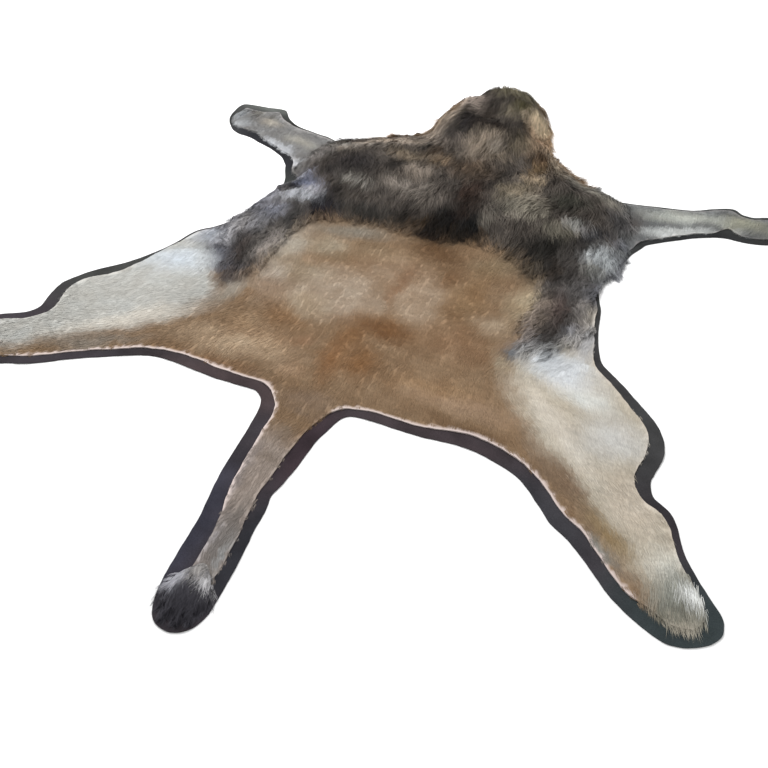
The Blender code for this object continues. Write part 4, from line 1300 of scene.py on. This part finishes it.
def ramped(tree, value, low, high):
    """A value stretched so that low becomes 0 and high becomes 1."""
    node = add_node(tree, "ShaderNodeMapRange")
    tree.links.new(value, node.inputs["Value"])
    node.inputs["From Min"].default_value = low
    node.inputs["From Max"].default_value = high
    return node.outputs[0]


def bumped(tree, shader, height, distance, strength):
    """A Bump node from a height to the shader's normal."""
    node = add_node(tree, "ShaderNodeBump")
    node.inputs["Distance"].default_value = distance
    node.inputs["Strength"].default_value = strength
    tree.links.new(height, node.inputs["Height"])
    tree.links.new(node.outputs[0], shader.inputs["Normal"])


def felt_material():
    """Dark wool felt: matted fibres and faint mottling over tints that change from place to place."""
    constants = {"Sheen Weight": 0.04, "Specular IOR Level": 0.05, "Roughness": 0.95}
    material, tree, shader = principled("rug felt", **constants)
    fibres = noise_texture(tree, 900, 3, (1, 0.35, 1), 0.7)
    crossing = noise_texture(tree, 800, 3, (0.35, 1, 1), 0.7)
    matted = math_node(tree, "ADD", fibres, crossing)
    tint = attribute_of(tree, "base", "Color")
    mottled = toned(tree, tint, noise_texture(tree, 9, 4), (0.3, 0.7), (0.6, 1.25))
    tree.links.new(toned(tree, mottled, matted, (0.7, 1.3), (0.7, 1.35)), shader.inputs["Base Color"])
    bumped(tree, shader, matted, 0.8 * MM, 0.9)
    return material


def hide_material(settings):
    """The hide between its hairs: the coat's colour in fine streaks, and pale raw skin at the cut edge."""
    material, tree, shader = principled("rug hide", **{"Specular IOR Level": 0.15, "Roughness": 0.85})
    streaks = noise_texture(tree, 260, 4, (1, 0.3, 1), 0.65)
    furred = toned(tree, attribute_of(tree, "base", "Color"), streaks, (0.3, 0.7), (0.78, 1.08))
    raw = mixed(tree, attribute_of(tree, "edge", "Fac"), furred, tuple(settings.raw))
    tree.links.new(raw, shader.inputs["Base Color"])
    bumped(tree, shader, streaks, 1.2 * MM, 0.7)
    return material


def base_material(name):
    """Hair under the long hair: the coat's colour in streaks, darkened as painted shade under the locks."""
    material, tree, shader = principled(name, **{"Specular IOR Level": 0.05, "Roughness": 0.9})
    streaks = noise_texture(tree, 120, 4, (1, 0.4, 1), 0.6)
    # Painted shade: the coat's colour is darkened to between 0.3 and 0.85 of itself for the shade under the
    # long hair.
    matted = toned(tree, attribute_of(tree, "base", "Color"), streaks, (0.3, 0.7), (0.3, 0.85))
    tree.links.new(matted, shader.inputs["Base Color"])
    bumped(tree, shader, streaks, 2.5 * MM, 0.8)
    return material


def rounded(loop, rounds):
    """A loop with its corners evened out."""
    for _ in range(rounds):
        loop = 0.5 * loop + 0.25 * (np.roll(loop, 1, axis=0) + np.roll(loop, -1, axis=0))
    return loop


def cut_outline(name, stray, seed):
    """A node's outline, smoothed, with small strays from the line."""
    loop = smooth_loop(node_outline(name), OUTLINE_STEP)
    out = outward_normals(loop)
    amount = wander(loop, CUT_WAVES, seed) + 0.5 * wander(loop, CUT_WAVES / 3, seed + 1)
    return loop + out * (amount * stray)[:, None]


class RUG_OT_felt(bpy.types.Operator):
    """Lays the felt backing"""

    bl_idname = "rug.felt"
    bl_label = "Felt backing"

    def execute(self, context):
        settings = context.scene.rug_felt
        outline = cut_outline("felt_backing", settings.cut, 1)
        points, faces = filled(outline, FELT_MESH_SIZE)
        past_skin = -depth_inside(points, node_outline("skin"))
        past_mane = -depth_inside(points, node_outline("mane"))
        free = smoothstep(past_skin / FREE_PAST_SKIN) * smoothstep(past_mane / FREE_PAST_MANE)
        wave = np.clip(waves(points, FELT_WAVES), 0, 1)
        lift = relaxed(wave * settings.ripple * free, faces, 1)
        thickness = FELT_HIGH.z - FELT_LOW.z
        felt = sheet_between("felt_sheet", points, faces, lift, lift + thickness)
        tint = patched(places_of(felt.data), settings.colour, (), FELT_PATCHES, 10 * MM)
        carry(felt, base=opaque(tint))
        felt.data.materials.append(felt_material())
        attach(felt, "root")
        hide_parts("felt_backing")
        return {"FINISHED"}


def hide_outline():
    """The hide's cut edge, a little ragged."""
    return cut_outline("skin", HIDE_STRAY, 11)


def mane_outline():
    """The mane's rim without its locks, drawn in where the skin's edge shows beside it."""
    loop = rounded(smooth_loop(node_outline("mane"), MANE_OUTLINE_STEP), 12)
    skin = node_outline("skin")
    nearest = nearest_on(loop, skin)
    past_skin = -depth_inside(loop, skin)
    most = mane_reach(loop) - 14 * MM
    share = np.where(past_skin > most, most / np.maximum(past_skin, 1e-6), 1)
    inside = past_skin < 0
    drawn = np.where(inside[:, None], loop, nearest + (loop - nearest) * share[:, None])
    kept = [drawn[0]]
    for point in drawn[1:]:
        if np.linalg.norm(point - kept[-1]) > 6 * MM:
            kept.append(point)
    return np.array(kept)


def slope_round(form, outline):
    """A strip outside a form for its outermost hair to lie on, from near the form's rim down to its foot."""
    out = outward_normals(outline)
    start = outline - out * SLOPE_INSET
    mesh = bmesh.new()
    mesh.from_mesh(form.data)
    height = heights(BVHTree.FromBMesh(mesh), start, True)
    mesh.free()
    rows = []
    for share in np.linspace(0, 1, SLOPE_ROWS):
        places = start + out * ((SLOPE_INSET + 0.5 * height) * share)[:, None]
        rows.append(np.column_stack([places, height * (1 - share**2)]))
    count = len(outline)
    here = np.arange(count)
    ahead = (here + 1) % count
    faces = []
    for number in range(len(rows) - 1):
        first = number * count
        quads = np.column_stack([first + here, first + count + here, first + count + ahead, first + ahead])
        faces += quads.tolist()
    data = bpy.data.meshes.new("mane_slope")
    data.from_pydata(np.vstack(rows).tolist(), [], faces)
    return data


def mane_reach(points):
    """How far the mane's hair may hang past the skin's edge."""
    reach = bpy.context.scene.rug_mane.reach / MM
    return np.maximum(summed(points, reach, MANE_REACH_PATCHES), -10) * MM


def coat_colours(places):
    """The colour of the hair at each place: the mane's, the short fur's, or between them at the rim."""
    scene = bpy.context.scene
    mane = patched(places, scene.rug_mane.grey, MANE_AREAS, MANE_PATCHES, COAT_STRAY)
    long = places[:, :2] * (1, 0.5)
    mane *= np.exp(0.5 * wander(places, 0.075, 53) + 0.5 * wander(long, 0.035, 54))[:, None]
    fur = patched(places, scene.rug_hide.tan, COAT_AREAS, COAT_PATCHES, COAT_STRAY)
    mottled = summed(places, 0.45, MOTTLED_PATCHES)
    mottle = waves(places, COAT_WAVES)
    fur *= np.exp(mottle[:, None] * (0.11, 0.145, 0.18) * mottled[:, None])
    uneven = waves(places, SEAM_WAVES) * SEAM_STRAY * MM
    share = smoothstep((depth_inside(places, mane_outline()) + uneven) / SEAM_WIDTH + 0.35)
    return fur + (mane - fur) * share[:, None]


def lock_colours(places, flow, length):
    """The coat's colour for a lock at each place, taken part of the way along it."""
    return opaque(coat_colours(places + flow * (length * COLOUR_PLACE)[:, None]))


def opaque(colours):
    """Colours with a fourth part of 1."""
    return np.column_stack([colours, np.ones(len(colours))])


class RUG_OT_hide(bpy.types.Operator):
    """Lays the dressed skin on the felt"""

    bl_idname = "rug.hide"
    bl_label = "Hide"

    def execute(self, context):
        settings = context.scene.rug_hide
        outline = hide_outline()
        points, faces = filled(outline, HIDE_MESH_SIZE)
        bottom = np.full(len(points), SKIN_LOW.z)
        top = relaxed(heights(tree_of("skin"), points, True), faces, 3)
        depth = depth_inside(points, outline)
        inner = smoothstep(depth / UNEVEN_INSIDE)
        clear = smoothstep(-depth_inside(points, node_outline("mane")) / UNEVEN_PAST_MANE)
        rough = waves(points, HIDE_WAVES) * settings.creases * inner * clear
        top = np.maximum(top - HAIR_ON_HIDE + rough, bottom + LEAST_HIDE)
        hide = sheet_between("hide", points, faces, bottom, top)
        places = places_of(hide.data)
        depth = np.tile(np.abs(depth), 2)
        bare = np.maximum(greatest(places, BARE_EDGES), LEAST_RAW) * MM
        raw = smoothstep((bare - depth) / RAW_FADE)
        carry(hide, base=opaque(coat_colours(places)), edge=raw)
        hide.data.materials.append(hide_material(settings))
        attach(hide, "root")
        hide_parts("skin")
        return {"FINISHED"}


class RUG_OT_short_fur(bpy.types.Operator):
    """Grows the short fur on the hide"""

    bl_idname = "rug.short_fur"
    bl_label = "Short fur"

    def execute(self, context):
        settings = context.scene.rug_hide
        hide = bpy.data.objects["hide"]
        outline = hide_outline()
        places = places_of(hide.data)
        past_mane = -depth_inside(places, mane_outline())
        bare = greatest(places, BARE_EDGES) * MM
        past_edge = summed(places, 2, SHORT_REACH_PATCHES) * MM
        inward = (depth_inside(places, outline) - bare) / (10 * MM)
        haired = smoothstep(inward + past_edge / (8 * MM) - 0.25)
        hairy = smoothstep((past_mane + 30 * MM) / (25 * MM)) * upper_half(places) * haired
        flow = flow_at(places, 16, 0.10, 41)
        length = summed(places, 1, LENGTH_PATCHES)
        room = room_ahead(places, flow, outline) + past_edge - bare
        length = np.clip(np.minimum(length, room / settings.length), 0.25, 3)
        coat = lock_colours(places, flow, length * settings.length)
        lift = summed(places, 1, LIFT_PATCHES)
        carry(hide, coat=coat, hairy=hairy, flow=flow, length=length, lift=lift)
        shapes = lock_shapes(
            "short_lock", 7, strands=13, steps=2, length=settings.length, spread=9 * MM, width=1.1 * MM,
            rise=1.5 * MM, curl=0.10, gather=0.1,
        )
        ground = ground_of("short_fur_ground", lying_below())
        material = hair_material("short fur")
        for number, seed in enumerate(SHORT_FUR_SEEDS):
            grown(
                f"short_fur_{number + 1}", hide, shapes, ground, material, "short_fur",
                Spacing=settings.spacing, Seed=seed, Turn=0.18,
            )
        return {"FINISHED"}


class RUG_OT_mane(bpy.types.Operator):
    """Grows the mane"""

    bl_idname = "rug.mane"
    bl_label = "Mane"

    def execute(self, context):
        settings = context.scene.rug_mane
        outline = mane_outline()
        points, faces = filled(outline, MANE_MESH_SIZE)
        tree = tree_of("mane")
        bottom = heights(tree, points, False)
        top = relaxed(heights(tree, points, True), faces, 10)
        depth = np.maximum(depth_inside(points, outline), 0)
        full = summed(points, 0, FULL_PATCHES)
        lumps = waves(points, MANE_WAVES)
        raised = summed(points, 0, RAISED_PATCHES) * MM
        fill_share = MANE_FILL + MANE_FULL_FILL * full
        body = (top - bottom) * fill_share - 3 * MM + raised + lumps * settings.lumps
        rounding = (MANE_ROUND - MANE_FULL_ROUND * full) * MM
        body = 2 * MM + np.maximum(body - 2 * MM, 0) * smoothstep(depth / rounding)
        form = sheet_between("mane_form", points, faces, bottom, bottom + body)
        form.data.materials.append(base_material("mane roots"))
        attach(form, "root")
        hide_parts("mane")
        places = places_of(form.data)
        flow = flow_at(places, 38, 0.13, 55)
        length = summed(places, 1, MANE_LENGTH_PATCHES)
        past_rim = summed(places, 8, MANE_ROOM_PATCHES) * MM
        room = room_ahead(places, flow, node_outline("mane")) + past_rim
        past_skin = room_ahead(places, flow, node_outline("skin")) + mane_reach(places)
        length = np.clip(np.minimum(length, np.minimum(room, past_skin) / settings.length), 0.3, 2)
        coat = lock_colours(places, flow, length * settings.length)
        lift = summed(places, 1, LIFT_PATCHES)
        carry(form, base=opaque(coat_colours(places)), coat=coat)
        carry(form, hairy=upper_half(places), flow=flow, length=length, lift=lift)
        shapes = lock_shapes(
            "mane_lock", 9, strands=15, steps=3, length=settings.length, spread=12 * MM, width=1.5 * MM,
            rise=12 * MM, curl=0.2, gather=0.5,
        )
        ground = ground_of("mane_ground", [form.data, slope_round(form, outline), *lying_below()])
        material = hair_material("mane hair")
        for number, seed in enumerate(MANE_SEEDS):
            grown(
                f"mane_hair_{number + 1}", form, shapes, ground, material, "mane_hair",
                Spacing=settings.spacing, Seed=seed, Turn=0.3,
            )
        return {"FINISHED"}


class RUG_OT_tail_tuft(bpy.types.Operator):
    """Grows the dark tuft at the end of the tail"""

    bl_idname = "rug.tail_tuft"
    bl_label = "Tail tuft"

    def execute(self, context):
        settings = context.scene.rug_tuft
        outline = rounded(smooth_loop(node_outline("tail_tuft"), TUFT_OUTLINE_STEP), 6)
        near_root = 1 - smoothstep((outline[:, 1].max() - outline[:, 1]) / TUFT_NECK)
        middle = outline[:, 0].mean()
        outline[:, 0] = middle + (outline[:, 0] - middle) * (1 - TUFT_NARROWING * near_root)
        points, faces = filled(outline, TUFT_MESH_SIZE)
        tree = tree_of("tail_tuft")
        bottom = heights(tree, points, False)
        top = relaxed(heights(tree, points, True), faces, 2)
        depth = np.maximum(depth_inside(points, outline), 0)
        body = 1.5 * MM + np.maximum((top - bottom) * 0.7 - 2 * MM, 0) * smoothstep(depth / (16 * MM))
        form = sheet_between("tuft_form", points, faces, bottom, bottom + body)
        form.data.materials.append(base_material("tuft roots"))
        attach(form, "root")
        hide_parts("tail_tuft")
        places = places_of(form.data)
        flow = flow_at(places, 25, 0.03, 62)
        room = room_ahead(places, flow, node_outline("felt_backing")) - 4 * MM
        colour = patched(places, settings.colour, (), TUFT_PATCHES, 6 * MM)
        colour *= (1 + 0.4 * wander(places, 0.02, 61))[:, None]
        length = np.clip(room / settings.length, 0.25, 1)
        carry(form, base=opaque(colour), coat=opaque(colour), lift=np.ones(len(places)))
        carry(form, hairy=upper_half(places), flow=flow, length=length)
        shapes = lock_shapes(
            "tuft_lock", 5, strands=14, steps=3, length=settings.length, spread=7 * MM, width=1.2 * MM,
            rise=4 * MM, curl=0.2, gather=0.5,
        )
        ground = ground_of("tuft_ground", [form.data, *lying_below()])
        material = hair_material("tuft hair")
        grown(
            "tuft_hair", form, shapes, ground, material, "tuft_hair",
            Spacing=settings.spacing, Seed=TUFT_SEED, Turn=0.4,
        )
        return {"FINISHED"}


class RUG_OT_stage(bpy.types.Operator):
    """Sets the floor, the lights and the camera"""

    bl_idname = "rug.stage"
    bl_label = "Stage"

    def execute(self, context):
        settings = context.scene.rug_stage
        for name in ("short_lock", "mane_lock", "tuft_lock"):
            remove_collection(name)
        for name in ("short_fur_ground", "mane_ground", "tuft_ground"):
            bpy.data.objects.remove(bpy.data.objects[name])
        add_floor(settings)
        add_lights(context, settings)
        add_camera(context, settings)
        return {"FINISHED"}


def remove_collection(name):
    """Removes a collection of lock shapes and what is in it."""
    group = bpy.data.collections[name]
    for item in list(group.objects):
        bpy.data.objects.remove(item)
    bpy.data.collections.remove(group)


def add_floor(settings):
    """A plain pale floor."""
    bpy.ops.mesh.primitive_plane_add(size=40)
    floor = bpy.context.object
    floor.name = "floor"
    material, _, _ = principled("floor paint", **{"Base Color": (*settings.floor, 1), "Roughness": 0.9})
    floor.data.materials.append(material)


def add_lights(context, settings):
    """An even pale sky and one large soft lamp high on the left."""
    world = bpy.data.worlds.new("studio")
    world.use_nodes = True
    background = world.node_tree.nodes["Background"]
    background.inputs["Color"].default_value = (1, 1, 1, 1)
    background.inputs["Strength"].default_value = settings.sky
    context.scene.world = world
    lamp = bpy.data.lights.new("soft lamp", "AREA")
    lamp.energy = settings.lamp
    lamp.size = LAMP_SIZE
    made = bpy.data.objects.new("soft lamp", lamp)
    context.scene.collection.objects.link(made)
    made.location = LAMP_PLACE
    made.rotation_euler = (-made.location).to_track_quat("-Z", "Y").to_euler()


def add_camera(context, settings):
    """A camera at the photograph's place: a standing person's eye, over the tail's right side."""
    camera = bpy.data.cameras.new("camera")
    camera.lens = CAMERA_LENS
    made = bpy.data.objects.new("camera", camera)
    context.scene.collection.objects.link(made)
    made.location = (*(TAIL_ROOT + CAMERA_PLACE), settings.height)
    made.rotation_euler = (math.radians(CAMERA_TILT), 0, math.radians(CAMERA_TURN))
    context.scene.camera = made
    context.scene.view_settings.view_transform = "Standard"


class RUG_PT_panel(bpy.types.Panel):
    """Lists the rug's pieces"""

    bl_idname = "RUG_PT_panel"
    bl_label = "Lion skin rug"
    bl_space_type = "VIEW_3D"
    bl_region_type = "UI"
    bl_category = "Lion rug"

    def draw(self, context):
        for operator in OPERATORS:
            self.layout.operator(operator.bl_idname)


SETTINGS = {
    "rug_felt": RugFeltSettings,
    "rug_hide": RugHideSettings,
    "rug_mane": RugManeSettings,
    "rug_tuft": RugTuftSettings,
    "rug_stage": RugStageSettings,
}
OPERATORS = (RUG_OT_felt, RUG_OT_hide, RUG_OT_short_fur, RUG_OT_mane, RUG_OT_tail_tuft, RUG_OT_stage)


def register():
    for name, group in SETTINGS.items():
        bpy.utils.register_class(group)
        setattr(bpy.types.Scene, name, bpy.props.PointerProperty(type=group))
    for item in (*OPERATORS, RUG_PT_panel):
        bpy.utils.register_class(item)


def unregister():
    for item in (RUG_PT_panel, *reversed(OPERATORS)):
        bpy.utils.unregister_class(item)
    for name, group in reversed(SETTINGS.items()):
        delattr(bpy.types.Scene, name)
        bpy.utils.unregister_class(group)


def main():
    register()
    bpy.ops.rug.felt()
    bpy.ops.rug.hide()
    bpy.ops.rug.short_fur()
    bpy.ops.rug.mane()
    bpy.ops.rug.tail_tuft()
    bpy.ops.rug.stage()


if __name__ == "__main__":
    main()
